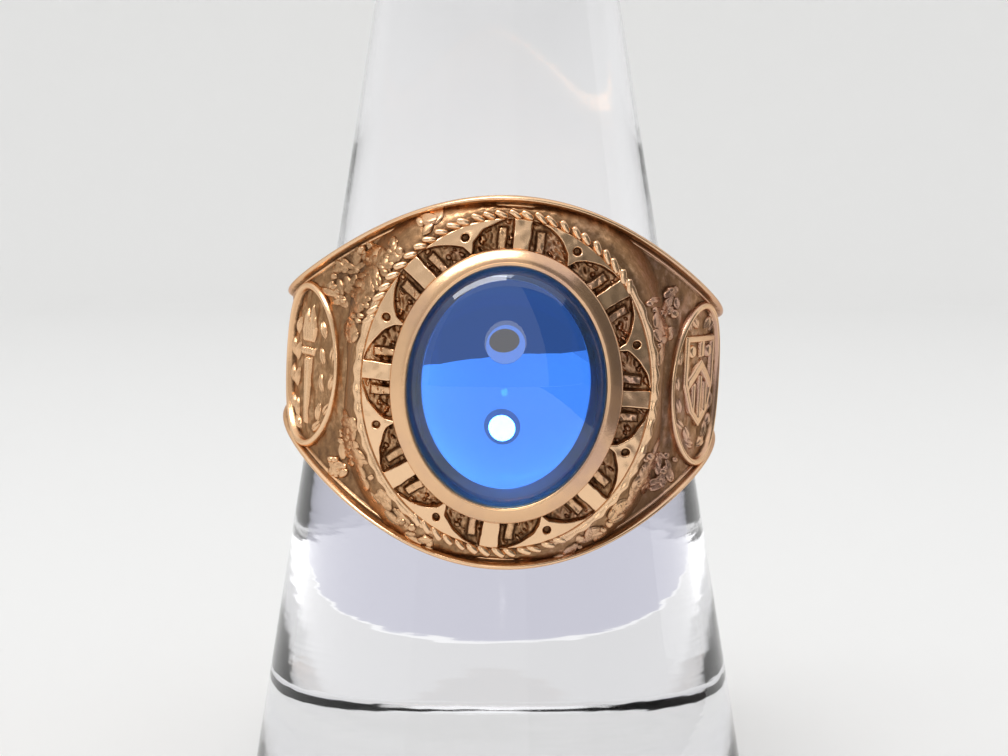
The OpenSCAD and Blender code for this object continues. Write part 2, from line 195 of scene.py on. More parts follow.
def ease(t, low, high):
    """0 below low and 1 above high, with a smooth S between them."""
    x = np.clip((t - low) / (high - low), 0, 1)
    return x * x * (3 - 2 * x)


def ring_angles(number_of):
    """Angles of evenly spaced points round a full turn."""
    return np.arange(number_of) * TURN / number_of


def smooth_profile(corners, columns):
    """A smooth line through a few corners: a Catmull-Rom curve, sampled evenly by its parameter."""
    p = np.array(corners, float)
    p = np.vstack([2 * p[0] - p[1], p, 2 * p[-1] - p[-2]])
    t = np.linspace(0, len(corners) - 1, columns)
    k = np.minimum(t.astype(int), len(corners) - 2)
    f = (t - k)[:, None]
    a, b, c, d = p[k], p[k + 1], p[k + 2], p[k + 3]
    return 0.5 * (2 * b + (c - a) * f + (2 * a - 5 * b + 4 * c - d) * f**2 + (3 * b - a - 3 * c + d) * f**3)


def oval_frame(half, turn):
    """A point of an oval, counted from its top, and the outward unit normal there."""
    sin, cos = np.sin(turn), np.cos(turn)
    nx, nz = sin / half[0], cos / half[1]
    size = np.hypot(nx, nz)
    return half[0] * sin, half[1] * cos, nx / size, nz / size


def even_turn(half, turn):
    """The parameter that spaces points evenly along an oval."""
    return turn + (half[1] - half[0]) / (half[1] + half[0]) / 2 * np.sin(2 * turn)


def nearness(a):
    """1 at the middle of the head and 0 at the back of the finger."""
    return (1 + np.cos(a)) / 2


def wavy(x, y, z, size, seed, waves=9):
    """Soft noise of about -1 to 1: plane sine waves about one size long, in seeded directions, added up."""
    random = np.random.default_rng(seed)
    total = 0
    for _ in range(waves):
        direction = random.normal(size=3)
        kx, ky, kz = direction * (TURN / size * random.uniform(0.6, 1.7) / np.linalg.norm(direction))
        total = total + np.sin(x * kx + y * ky + z * kz + random.uniform(0, TURN))
    return total / math.sqrt(2 * waves)


def half_width(s, a):
    """Half the band's width: a power of the nearness, mixed with the plain nearness for the shoulders."""
    near = nearness(a)
    return s.back_w / 2 + (s.head_w - s.back_w) / 2 * mix(near**s.head_taper, near, s.shoulder_share)


def band_radius(s, a):
    """Outer radius of the band's ground: thin at the sides, thicker at head and back."""
    near = nearness(a)
    head, back = (s.head_t - s.side_t) * near**6, (s.back_t - s.side_t) * (1 - near)**2
    return s.bore_d / 2 + s.side_t + head + back


def ground_y(s, x):
    """How far forward the band's ground lies at a place across, solved by a few rounds."""
    r, rounds = s.bore_d / 2 + s.side_t, 4
    for _ in range(rounds):
        r = band_radius(s, np.arcsin(np.clip(x / r, -1, 1)))
    return np.sqrt(np.clip(r**2 - x**2, 0, None))


def bore_radius(s, z):
    """Radius of the finger hole, which flares past its land, with a soft corner there."""
    past = np.abs(z) - s.bore_land
    soft = 0.4 * MM
    return s.bore_d / 2 + s.bore_flare * (past + np.sqrt(past**2 + soft**2)) / 2


def placed(across, forward, up):
    """Points from their places across, forward to the viewer and up."""
    return np.stack(np.broadcast_arrays(across, -forward, up), axis=-1)


def on_band(a, r, z):
    """A point at an angle from the head, a radius and a height."""
    return placed(r * np.sin(a), r * np.cos(a), z)


def seat_place(s, c):
    """Where the leaning ring's middle lies on the cone: the lower ends of its land touch the slope."""
    roll, bore_r = c.ring_roll, s.bore_d / 2
    x = math.sin(roll) * (s.bore_land + c.cone_slope * bore_r)
    z = (c.cone_d / 2 + c.seat_gap - bore_r * math.cos(roll)) / c.cone_slope + s.bore_land * math.cos(roll)
    return x, z


def on_cone(points):
    """Leans the ring about Y and lifts it to its seat."""
    scene = bpy.context.scene
    roll = scene.cone_sizes.ring_roll
    x0, z0 = seat_place(scene.ring_sizes, scene.cone_sizes)
    cos, sin = math.cos(roll), math.sin(roll)
    x, y, z = points[..., 0], points[..., 1], points[..., 2]
    return np.stack([x * cos + z * sin + x0, y, z * cos - x * sin + z0], axis=-1)


# Meshes from arrays


def grid_faces(rows, columns, wrap_rows, wrap_columns):
    """Quads between neighbouring points of a grid, numbered row by row."""
    down, along = rows - (not wrap_rows), columns - (not wrap_columns)
    i, j = np.meshgrid(np.arange(down), np.arange(along), indexing="ij")
    k, l = (i + 1) % rows, (j + 1) % columns
    corners = [i * columns + j, k * columns + j, k * columns + l, i * columns + l]
    return np.stack(corners, axis=-1).reshape(-1, 4)


def turned(r, z, columns):
    """A profile of radii and heights, turned round Z."""
    t = ring_angles(columns)[None, :]
    r, z = r[:, None], z[:, None]
    return np.stack([r * np.cos(t), r * np.sin(t), z + 0 * t], axis=-1)


def fan_faces(ring, pole):
    """Triangles from a closed ring of point numbers to one pole."""
    return np.stack([ring, np.roll(ring, -1), np.full(len(ring), pole)], axis=-1)


def lens_shape(rings, columns):
    """A small closed body: place along it, place across it and height, each from -1 or 0 to 1."""
    p = np.linspace(0, 1, rings)[1:-1, None]
    q = ring_angles(columns)[None, :]
    return p, np.cos(q) + 0 * p, np.sin(q) + 0 * p


class Surface:
    """Points, faces and named values of one closed surface, which others can be joined to."""

    def __init__(self, points, faces, **values):
        self.points = points.reshape(-1, 3)
        self.faces = faces
        self.values = {name: np.broadcast_to(v, points.shape[:-1]).ravel() for name, v in values.items()}

    def outward(self):
        """Turns the faces over where the volume they enclose comes out negative."""
        volume = 0
        for f in self.faces:
            a, b, c = (self.points[f[:, k]] for k in (0, 1, 2))
            volume += np.sum(a * np.cross(b, c))
            if f.shape[1] == 4:
                volume += np.sum(a * np.cross(c, self.points[f[:, 3]]))
        if volume < 0:
            self.faces = [f[:, ::-1] for f in self.faces]
        return self


def tube(points, **values):
    """A closed band: the grid's rows and columns both close on themselves."""
    return Surface(points, [grid_faces(points.shape[0], points.shape[1], True, True)], **values).outward()


def capped(points, **values):
    """A grid whose columns close on themselves, with a pole at each end of its rows."""
    rows, columns = points.shape[:2]
    flat = points.reshape(-1, 3)
    poles = np.stack([points[0].mean(axis=0), points[-1].mean(axis=0)])
    faces = [
        grid_faces(rows, columns, False, True),
        fan_faces(np.arange(columns), len(flat)),
        fan_faces((np.arange(columns) + (rows - 1) * columns)[::-1], len(flat) + 1),
    ]
    surface = Surface(flat, faces)
    surface.points = np.vstack([flat, poles])
    for name, value in values.items():
        full = np.broadcast_to(value, (rows, columns))
        surface.values[name] = np.concatenate([full.ravel(), [full[0].mean(), full[-1].mean()]])
    return surface.outward()


def joined(surfaces):
    """Several surfaces as one, with their point numbers moved on."""
    first = np.cumsum([0] + [len(s.points) for s in surfaces])
    faces = [f + start for s, start in zip(surfaces, first) for f in s.faces]
    whole = Surface(np.vstack([s.points for s in surfaces]), faces)
    whole.values = {name: np.concatenate([s.values[name] for s in surfaces]) for name in surfaces[0].values}
    return whole


def add_piece(name, surface, material, slot, replaced=(), sharp=None):
    """Makes the object of a surface that is already in its place, and ties it to the frame.

    Where an angle is given, edges that turn by more are kept sharp.
    """
    mesh = bpy.data.meshes.new(name)
    faces = [row for f in surface.faces for row in f.tolist()]
    mesh.from_pydata(surface.points.tolist(), [], faces)
    mesh.polygons.foreach_set("use_smooth", np.ones(len(faces), bool))
    for label, value in surface.values.items():
        mesh.attributes.new(label, "FLOAT", "POINT").data.foreach_set("value", value.astype(np.float32))
    mesh.materials.append(material)
    mesh.update()
    if sharp is not None:
        mesh.set_sharp_from_angle(angle=sharp)
    piece = bpy.data.objects.new(name, mesh)
    bpy.context.scene.collection.objects.link(piece)
    if slot:
        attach(piece, BODY)
    if replaced:
        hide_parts(*replaced)
    return piece


def ring_piece(name, surface, replaced=()):
    """A gold piece, modelled about the ring's own axis and set on the cone."""
    surface.points = on_cone(surface.points)
    return add_piece(name, surface, gold_material(), GOLD_SLOT, replaced)


# Shader graphs


class Socket:
    """An output of a shader node. Arithmetic on it adds Math nodes."""

    def __init__(self, graph, output):
        self.graph, self.output = graph, output

    def math(self, operation, *values):
        return self.graph.node("ShaderNodeMath", {"operation": operation}, dict(enumerate(values)))

    def __add__(self, other):
        return self.math("ADD", self, other)

    def __sub__(self, other):
        return self.math("SUBTRACT", self, other)

    def __rsub__(self, other):
        return self.math("SUBTRACT", other, self)

    def __mul__(self, other):
        return self.math("MULTIPLY", self, other)

    def __truediv__(self, other):
        return self.math("DIVIDE", self, other)

    __radd__, __rmul__ = __add__, __mul__

    def clamp(self):
        """Keeps the value between 0 and 1."""
        return self.graph.node("ShaderNodeClamp", {}, {0: self})


class Graph:
    """The node tree of one material or world."""

    def __init__(self, owner):
        owner.use_nodes = True
        self.tree = owner.node_tree
        self.tree.nodes.clear()

    def node(self, kind, settings=None, inputs=None, output=0):
        """Adds a node: first its settings, then its sockets' values or links. Gives back one output."""
        node = self.tree.nodes.new(kind)
        for name, value in (settings or {}).items():
            setattr(node, name, value)
        for name, value in (inputs or {}).items():
            if isinstance(value, Socket):
                self.tree.links.new(value.output, node.inputs[name])
            else:
                node.inputs[name].default_value = value
        return Socket(self, node.outputs[output]) if len(node.outputs) else None

    def place(self, scale=(1, 1, 1), turn=(0, 0, 0)):
        """Object coordinates, turned and stretched."""
        where = self.node("ShaderNodeTexCoord", output="Object")
        return self.node("ShaderNodeMapping", {}, {"Vector": where, "Scale": scale, "Rotation": turn})

    def part(self, vector, axis):
        """One part of a vector, such as its Z."""
        return self.node("ShaderNodeSeparateXYZ", {}, {0: vector}, output="XYZ".index(axis))

    def noise(self, where, scale, detail=2, roughness=0.5):
        """Soft noise around a half, at so many waves for each metre."""
        return self.node("ShaderNodeTexNoise", {}, {
            "Vector": where, "Scale": scale, "Detail": detail, "Roughness": roughness})

    def value(self, name):
        """A value that the mesh holds at its points."""
        return self.node("ShaderNodeAttribute", {"attribute_name": name}, output="Fac")

    def blend(self, factor, a, b):
        """From colour a to colour b."""
        return self.node("ShaderNodeMix", {"data_type": "RGBA"}, {0: factor, 6: a, 7: b}, output=2)

    def bump(self, height, distance):
        """A normal from a height; distance is the real depth of a full step."""
        return self.node("ShaderNodeBump", {}, {"Height": height, "Distance": distance})

    def finish(self, shader, kind="ShaderNodeOutputMaterial"):
        """Ends the tree in its output node."""
        self.node(kind, {}, {"Surface": shader})


def four(rgb):
    """A colour with full alpha."""
    return (*rgb, 1)


def kept_material(name, build):
    """Builds a material once and hands out the same one after that."""
    made = bpy.data.materials.get(name)
    if made is None:
        made = bpy.data.materials.new(name)
        build(Graph(made), bpy.context.scene.ring_colours)
    return made


def gold_nodes(g, c):
    """Worn gold: brown, then black where the mesh's cavity value is high, and bright where its wear is.

    A thin purple-pink tarnish film lies in soft patches. It thickens to the right, and that rise is painted
    shade of the darker right side.
    """
    plain = g.place()
    across = g.part(plain, "X")
    cavity, wear = g.value("cavity"), g.value("wear")
    cloud = g.noise(plain, 420, 5, 0.6)
    grain = g.noise(plain, 2600, 5, 0.65)
    speck = g.noise(plain, 9000, 3, 0.6)
    mottle = (cloud - 0.5) * 0.9 + (grain - 0.5) * 1.1 + (speck - 0.5) * 0.4
    brown = ((cavity - 0.26 + mottle) * 2.2).clamp()
    black = ((cavity - 0.76 + mottle) * 2.4).clamp()
    # Tarnish in soft patches, plus a rise to the right that is painted shade.
    film = ((g.noise(plain, 260, 4, 0.6) - 0.5) * 4 + 0.15 + across * 80).clamp() * 0.75
    metal = g.blend(film, four(c.gold), four(c.tarnish))
    metal = g.blend((wear * 1.1 - 0.2 * film - 0.1 * cloud).clamp(), metal, four(c.rubbed))
    metal = g.blend(brown * 0.85, metal, four(c.umber))
    metal = g.blend(black * 0.9, metal, four(c.oxide))
    scratch = g.noise(g.place((1, 1, 0.06), (0.3, 0.9, 0.4)), 9000, 2)
    scratch = scratch + g.noise(g.place((0.06, 1, 1), (0.1, -0.5, 0.2)), 8000, 2)
    rough = 0.24 + brown * 0.14 + black * 0.3 + (cloud - 0.5) * 0.12 - wear * 0.05
    height = grain * (0.5 + cavity * 1.8) + scratch * 0.14 + speck * (0.1 + cavity * 0.6)
    shader = g.node("ShaderNodeBsdfPrincipled", {}, {
        "Base Color": metal, "Metallic": 1 - black * 0.6, "Roughness": rough.clamp(),
        "Specular Tint": (0.75, 0.6, 0.5, 1), "Normal": g.bump(height, 0.012 * MM)})
    g.finish(shader)


def gold_material():
    """The one metal of the whole casting."""
    return kept_material("antiqued_gold", gold_nodes)


def stone_nodes(g, c):
    """Clear blue stone, polished bright on dome and flat back, and left matt on the bevel between them."""
    g.finish(g.node("ShaderNodeBsdfPrincipled", {}, {
        "Base Color": four(c.blue), "Roughness": g.value("bevel") * 0.42, "IOR": STONE_IOR,
        "Transmission Weight": 1.0}))


def foil_nodes(g, c):
    """The mirror behind the stone: bright in the middle; behind the bevel a dull blue with dark blotches,
    which is painted shade, and brighter and bluer low down, which is painted light.
    """
    cloud, bevel = g.noise(g.place(), 700, 4, 0.6), g.value("bevel")
    # Dark blotches of painted shade in the bevel's tint.
    shade_blotch = four([v * 0.06 for v in c.bevel])
    dull_and_shade = g.blend(((cloud - 0.42) * 5).clamp(), four(c.bevel), shade_blotch)
    # Behind the bevel: painted shade, brightened low down by painted light.
    tint = g.blend(bevel, four(c.foil), g.blend(g.value("low"), dull_and_shade, four(c.lit_low_bevel)))
    g.finish(g.node("ShaderNodeBsdfPrincipled", {}, {
        "Base Color": tint, "Metallic": 1.0, "Roughness": bevel * 0.2}))


def acrylic_nodes(g, c):
    """Clear acrylic with fine scuffs round it and along it, and coarse turning marks near its foot."""
    plain, marks_end, marks_fade = g.place(), 17 * MM, 6 * MM
    low = ((marks_end - g.part(plain, "Z")) / marks_fade).clamp()
    cloud = g.noise(plain, 90, 4)
    round_marks = g.noise(g.place((0.04, 0.04, 1)), 1500, 3)
    long_marks = g.noise(g.place((1, 1, 0.03)), 1600, 3)
    turned = g.noise(g.place((0.22, 0.22, 1)), 420, 3, 0.6)
    scuff = (round_marks * 1.6 + long_marks - 1.3 + cloud * 0.3) * 0.5 + turned * low * 5
    g.finish(g.node("ShaderNodeBsdfPrincipled", {}, {
        "Base Color": four(c.acrylic), "Roughness": (0.02 + cloud * 0.04).clamp(), "IOR": ACRYLIC_IOR,
        "Transmission Weight": 1.0, "Normal": g.bump(scuff, 0.004 * MM)}))


def paper_nodes(g, c):
    """Matt paper of the floor and backdrop."""
    g.finish(g.node("ShaderNodeBsdfPrincipled", {}, {"Base Color": four(c.paper), "Roughness": 0.9}))


def card_material(name, radiance, tint=WARM_WHITE):
    """A plain glow of one strength, for the cards and lamps that only reflections see."""
    made = bpy.data.materials.new(name)
    g = Graph(made)
    g.finish(g.node("ShaderNodeEmission", {}, {"Color": four(tint), "Strength": radiance}))
    return made


def bright_side_material(middle):
    """The bright side of the room: a glow that grows upward and to the right."""
    made = bpy.data.materials.new("bright_side")
    g = Graph(made)
    plain = g.place()
    up = (g.part(plain, "Z") - middle[2]) / (22 * MM)
    across = (g.part(plain, "X") - middle[0] - 4 * MM) / (26 * MM)
    level = 1.18 + up.clamp() * 0.4 + across.clamp() * 0.35
    g.finish(g.node("ShaderNodeEmission", {}, {"Color": level, "Strength": 1.0}))
    return made


# The band


# Rows of points along each edge of the band, in millimetres from the edge
EDGE_ROWS = [0, 0.02, 0.05, 0.09, 0.13, 0.17, 0.21, 0.25, 0.28, 0.31, 0.335, 0.36, 0.385, 0.41, 0.44, 0.47,
             0.5, 0.53, 0.555, 0.58, 0.62, 0.66, 0.7, 0.74, 0.78, 0.83]


def painted_shoulder_shade(x, z):
    """How much the metal is darkened on the upper left shoulder: a soft round patch, partly dull tarnish and
    partly painted shade.
    """
    return np.exp(-((x + 7 * MM) / (2.6 * MM))**2 - ((z - 4.8 * MM) / (2.2 * MM))**2)


def band_surface(s, h):
    """The whole band: at each angle a closed section of ground, rim wires, side faces and finger hole.

    Each wire's height is a half ellipse over its width, and fades with the nearness to the power 0.8. The
    ground between is a little uneven, and sinks under the stone, to leave room for its flat back.
    """
    a = ring_angles(720)[:, None]
    w, r, near = half_width(s, a), band_radius(s, a), nearness(a)
    rise = near**0.8
    from_edge = np.array(EDGE_ROWS) * MM
    ground = np.linspace(0, 1, 25)[1:]
    e = np.concatenate([from_edge + 0 * w, mix(from_edge[-1], w, ground)], axis=1)
    crest_at, half_wire = 0.6, 0.75
    second_at, half_second = 1.85 * s.rim_w, 0.36 * s.rim_w
    wire = np.sqrt(np.clip(1 - ((e / s.rim_w - crest_at) / half_wire)**2, 0, None))
    second = np.sqrt(np.clip(1 - ((e - second_at) / half_second)**2, 0, None))
    second = second * ease(near, 0.45, 0.75)
    rounding = 0.14 * MM * (1 - near) * (1 - ease(e, 0, 0.3 * MM))
    top_z = w - e
    share_out = np.hypot(r * np.sin(a) / h.girdle[0], top_z / h.girdle[1])
    sunk = 0.5 * MM * (ease(1 - share_out, 0, 0.1) * (near > 0.5))
    uneven = 0.05 * MM * wavy(a * r, 0, top_z, 0.8 * MM, 31)
    uneven = uneven * ease(e, 0.8 * MM, 1.4 * MM) * ease(near, 0.35, 0.6)
    top_r = r + s.rim_h * rise * wire + s.second_h * rise * second - rounding - sunk + uneven
    share, corner = np.linspace(1, -1, 19)[None, :], 0.05 * MM
    hole_z = share * (w - 0.06 * MM)
    hole_r = bore_radius(s, hole_z) + corner * (np.abs(share) == 1)
    side_r = mix(top_r[:, :1], hole_r[:, :1], np.array([[0.3, 0.7]]))
    edge = w + 0 * side_r
    radius = np.concatenate([hole_r[:, ::-1], side_r[:, ::-1], top_r, top_r[:, -2::-1], side_r], axis=1)
    height = np.concatenate([hole_z[:, ::-1], edge, top_z, -top_z[:, -2::-1], -edge], axis=1)
    behind_wire = ease(e, 0.26 * MM, 0.36 * MM) * ease(near, 0.3, 0.72)
    first_groove, second_groove = (np.exp(-((e - at * MM) / (0.06 * MM))**2) for at in (0.36, 0.66))
    groove = first_groove + 0.9 * second_groove
    dark = behind_wire * np.maximum(0.66 - 0.6 * second, 0.95 * groove)
    # Painted shade darkens the ground on the upper left shoulder.
    dark += 0.3 * behind_wire * painted_shoulder_shade(r * np.sin(a), top_z)
    inner, side = 0 * hole_r, 0 * side_r
    cavity = np.concatenate([inner, side, dark, dark[:, -2::-1], side], axis=1)
    crest = np.maximum(wire, 0.5 * second) * near
    wear = np.concatenate([inner, side, crest, crest[:, -2::-1], side], axis=1)
    return tube(on_band(a, radius, height), cavity=cavity, wear=wear)


# The head


def bay_coordinates(h, x, z):
    """Distance round and outward from the middle of the nearest arch, and from the nearest dot."""
    best = [np.full(x.shape, 1.0) for _ in range(4)]
    for k in range(2 * h.arches):
        turn = even_turn(h.bezel_half, TURN * k / 2 / h.arches + h.arcade_turn)
        cx, cz, nx, nz = oval_frame(h.bezel_half, turn)
        across, out = (x - cx) * nz - (z - cz) * nx, (x - cx) * nx + (z - cz) * nz
        slot = 2 * (k % 2)
        closer = (np.abs(across) < np.abs(best[slot])) & (out > -1.5 * MM)
        best[slot] = np.where(closer, across, best[slot])
        best[slot + 1] = np.where(closer, out, best[slot + 1])
    return best


class HeadSizes:
    """Sizes of the head that follow from the driving ones."""

    def __init__(self, s, stone):
        self.arches, self.post_w, self.side_post_w = s.arches, s.post_w, s.side_post_w
        self.arcade_w, self.dot_d, self.arcade_turn = s.arcade_w, s.dot_d, s.arcade_turn
        bore_r = s.bore_d / 2
        self.girdle = np.array([stone.stone_w, stone.stone_l]) / 2
        self.bezel_half = self.girdle + s.bezel_w
        self.arcade_half = self.bezel_half + s.arcade_w
        self.rope_half = self.arcade_half + 0.53 * s.rope_w
        self.ledge_half = self.arcade_half + 1.12 * s.rope_w
        self.bezel_y = bore_r + s.bezel_top
        self.lip_y = self.bezel_y - s.lip_drop
        self.inner_y = bore_r + s.arcade_top
        self.outer_y = self.inner_y - s.arcade_drop
        self.ledge_y = self.outer_y - 0.4 * s.rope_w
        self.floor_y = bore_r + s.arch_floor
        self.chord = math.pi * self.bezel_half.sum() / s.arches - s.web_w
        self.arch_h = 1.03 * s.arcade_w
        self.arch_r = ((self.chord / 2)**2 + self.arch_h**2) / (2 * self.arch_h)
        under_lip = float(dome_height(stone, *self.girdle, self.girdle[0] - s.bezel_lip, 0))
        self.girdle_y = self.lip_y - 0.02 * MM - under_lip
        self.back_y = self.girdle_y - stone.girdle_t - stone.pavilion_h


def arch_relief(h, x, z):
    """Depth below the arcade as a share of an arch's depth, with the cavity of the recesses.

    An arch is a circle cut off by its chord. Edges are S curves over a few hundredths of a millimetre, and
    soft noise pushes them about, as in a worn casting.
    """
    x = x + 0.03 * MM * wavy(x, 0, z, 1.1 * MM, 11)
    z = z + 0.03 * MM * wavy(x, 0, z, 1.1 * MM, 12)
    across, out, dot_across, dot_out = bay_coordinates(h, x, z)
    soft = 0.05 * MM
    circle = h.arch_r - np.hypot(across, out - (h.arch_h - h.arch_r))
    wall = np.minimum(circle, h.chord / 2 - np.abs(across))
    inside = ease(wall, -soft, soft)
    widen = 1 + 0.1 * (out / h.arch_h - 0.5)
    from_post = np.abs(across) - h.post_w / 2 * widen
    post = ease(-from_post, -soft, soft)
    side = np.abs(across) - h.post_w / 2 - 1.12 * h.side_post_w
    low_reach = 0.66 * h.arcade_w
    from_low = np.maximum(np.abs(side) - 0.5 * h.side_post_w, out - low_reach)
    low = ease(-from_low, -soft, soft)
    lump = ease(wavy(x, 0, z, 0.42 * MM, 13), 0.35, 0.9) * ease(from_low, 0.05 * MM, 0.15 * MM)
    depth = inside * (1 - post) * (1 - 0.62 * low) * (1 - 0.3 * lump)
    dot = ease(h.dot_d / 2 - np.hypot(dot_across, dot_out - 0.64 * h.arcade_w), -soft, soft)
    recess = inside * (1 - post)
    corner = 1 - ease(np.minimum(np.minimum(wall, from_post), np.abs(from_low)), 0.03 * MM, 0.17 * MM)
    cavity = recess * (0.58 + 0.32 * corner) * (1 - 0.5 * low * (from_low < -0.06 * MM) - 0.3 * lump)
    return np.maximum(depth, 0.8 * dot), np.maximum(cavity, dot), recess


def flank_reach(s, turn):
    """How far the flank spreads below the rope: least at top and bottom, most in the four corners."""
    sides, corners = 0.36 + 0.64 * np.sin(turn)**2, np.abs(np.sin(2 * turn))**1.5
    return s.flank_spread * sides + s.corner_spread * corners


def flank_fall(q):
    """Share of the fall from ledge to band at a share q of the flank's reach: a soft S."""
    return 0.04 + 0.96 * (0.45 * q + 0.55 * ease(q, 0.15, 1.05))


# How far the rope is worn down, from 0 to 1, by the angle round the stone in degrees, clockwise from the
# top. A bead that is worn down further than the limit is gone
ROPE_WEAR = {0: 0, 30: 0, 58: 0.9, 150: 0.9, 168: 0.1, 195: 0.1, 216: 0.8, 288: 0.8, 312: 0.05, 360: 0}
WORN_AWAY = 0.75


def rope_worn(turn):
    """The rope's wear at an angle round the stone, read from its table."""
    degrees = np.degrees(turn) % 360
    return np.interp(degrees, list(ROPE_WEAR), list(ROPE_WEAR.values()))


def rope_bead(s, h, number_of):
    """One bead of the rope: an ellipsoid that slants inward clockwise, sunk into the ridge by its wear."""
    random = np.random.default_rng(300 + number_of)
    count_on = number_of + random.uniform(-0.12, 0.12)
    turn = even_turn(h.rope_half, TURN * count_on / s.rope_turns)
    worn = float(rope_worn(turn))
    if worn > WORN_AWAY:
        return None
    cx, cz, nx, nz = oval_frame(h.rope_half, turn)
    slant = math.radians(30 + random.uniform(-6, 6))
    cos, sin = math.cos(slant), math.sin(slant)
    ax, az = nz * cos - nx * sin, -nx * cos - nz * sin
    p, across, up = lens_shape(9, 12)
    long = 1.9 * s.rope_w * random.uniform(0.92, 1.08)
    broad = 0.98 * s.rope_w * random.uniform(0.88, 1.1)
    bulge = np.sin(np.pi * p)**0.62
    u, v = -np.cos(np.pi * p) * long / 2, across * bulge * broad / 2
    rise = up * bulge * s.rope_w * (0.56 - 0.3 * worn)
    points = placed(cx + ax * u - az * v, h.ledge_y + 0.04 * MM + rise, cz + az * u + ax * v)
    low = 1 - ease(up * bulge, 0.12, 0.5)
    return capped(points, cavity=low, wear=ease(up * bulge, 0.5, 0.9))


def bed_y(s, h, x, z):
    """How far forward the bed of the sprigs lies: the band's ground, or the head's flank beside the rope."""
    share_x, share_z = x / h.ledge_half[0], z / h.ledge_half[1]
    out = np.hypot(x, z) * (1 - 1 / np.hypot(share_x, share_z))
    q = np.clip(out / flank_reach(s, np.arctan2(share_x, share_z)), 0, 1)
    return mix(h.ledge_y, ground_y(s, x), flank_fall(q))


def head_surface(s, h):
    """The raised head round the stone: inner wall, sloping arcade with its arches, rope ledge and flank.

    Rows to the ledge follow an oval grown from the stone's edge. The flank goes out along the ledge's
    normals and falls to the band, and the underside runs inside the band's wall.
    """
    turn = even_turn(h.arcade_half, ring_angles(1200))[:, None]
    hidden, arcade_end = 0.14 * MM, s.bezel_w + s.arcade_w
    arcade = np.linspace(hidden, arcade_end, 50)
    ledge = arcade_end + np.array([0.03, 0.08, 0.3]) * MM
    q = np.array([[0, 0.02, 0.08, 0.18, 0.3, 0.42, 0.54, 0.66, 0.78, 0.88, 0.96, 1.0, 1.06]])
    grow = np.concatenate([[-0.9 * MM, 0.1 * MM], arcade, ledge])
    last_x, last_z, nx, nz = oval_frame(h.ledge_half, turn)
    out = flank_reach(s, turn) * q
    flank_x, flank_z = last_x + nx * out, last_z + nz * out
    x = np.concatenate([(h.girdle[0] + grow) * np.sin(turn), flank_x, last_x], axis=1)
    z = np.concatenate([(h.girdle[1] + grow) * np.cos(turn), flank_z, last_z], axis=1)
    slope = mix(h.inner_y, h.outer_y, (arcade - hidden) / (arcade_end - hidden))
    first, last = 2, 2 + len(arcade)
    ax, az = x[:, first:last], z[:, first:last]
    depth, cavity, recess = arch_relief(h, ax, az)
    worn_left = ease(-ax, 5.4 * MM, 6.6 * MM)
    slope = slope + 0.02 * MM * wavy(ax, 0, az, 0.9 * MM, 14)
    arcade_y = slope - depth * (1 - 0.35 * worn_left) * (slope - h.floor_y) + (
        0.035 * MM * recess * wavy(ax, 0, az, 0.35 * MM, 15))
    ledge_y = mix(h.outer_y, h.ledge_y, np.array([0.35, 0.9, 1.0]))
    flank_y = mix(h.ledge_y, ground_y(s, flank_x), flank_fall(q))
    uneven = 0.055 * MM * wavy(flank_x, 0, flank_z, 0.7 * MM, 16)
    flank_y += uneven * ease(q, 0.1, 0.3) * (1 - ease(q, 0.85, 1))
    wall_r = mix(band_radius(s, 0), bore_radius(s, z), 0.45)
    under_y = np.sqrt(wall_r**2 - x**2)
    under_y[:, 0] = np.minimum(under_y[:, 0], h.back_y - 0.3 * MM)
    wall_y = np.minimum(h.inner_y - 0.3 * MM, h.back_y) + 0 * turn
    first_y, last_y = under_y[:, :1], under_y[:, -1:]
    y = np.concatenate([first_y, wall_y, arcade_y, ledge_y + 0 * turn, flank_y, last_y], axis=1)
    full = np.ones((len(turn), 1))
    # The flank also gets painted shade on the upper left shoulder.
    flank = mix(0.66, 0.74, np.abs(nx)**3) + 0.2 * ease(q, 0.75, 1) + 0.3 * painted_shoulder_shade(flank_x, flank_z)
    cavity = np.concatenate([
        full, full, cavity * (1 - 0.4 * worn_left), full * [[0.45, 0.8, 0.75]], flank, full], axis=1)
    wear = np.zeros_like(y)
    wear[:, first:last] = (1 - recess) * 0.9
    return tube(placed(x, y, z), cavity=cavity, wear=wear)


def rope_surface(s, h):
    """The rope border: slanted ellipsoid beads on a low ridge, which swells where they are worn down.

    The worn ridge has a shallow groove along it and a scalloped outer edge.
    """
    around = ring_angles(1400)[:, None]
    turn = even_turn(h.rope_half, around)
    worn = rope_worn(turn)
    cx, cz, nx, nz = oval_frame(h.rope_half, turn)
    section = ring_angles(24)[None, :]
    scallop = 1 + 0.24 * worn * np.cos(around * s.rope_turns * 0.62 + 2 * np.sin(3 * around))
    wide = s.rope_w / 2 * mix(0.72, 1.12, worn) * np.where(np.cos(section) > 0, scallop, 1)
    out = wide * np.cos(section)
    groove = 1 - 0.34 * worn * np.exp(-((out + 0.02 * MM) / (0.055 * MM))**2)
    up = s.rope_w * mix(0.2, 0.46, worn) * np.sin(section) * groove
    up = up * (1 + 0.2 * worn * wavy(cx, 0, cz, 0.9 * MM, 21))
    points = placed(cx + nx * out, h.ledge_y + up, cz + nz * out)
    top = ease(np.sin(section), 0.1, 0.7)
    cavity = mix(0.95, 0.5, worn) * (1 - 0.9 * top * worn) + 0.5 * worn * top * (1 - groove)
    ridge = tube(points, cavity=cavity, wear=top * worn * 0.9)
    beads = [rope_bead(s, h, k) for k in range(s.rope_turns)]
    return joined([ridge] + [bead for bead in beads if bead is not None])


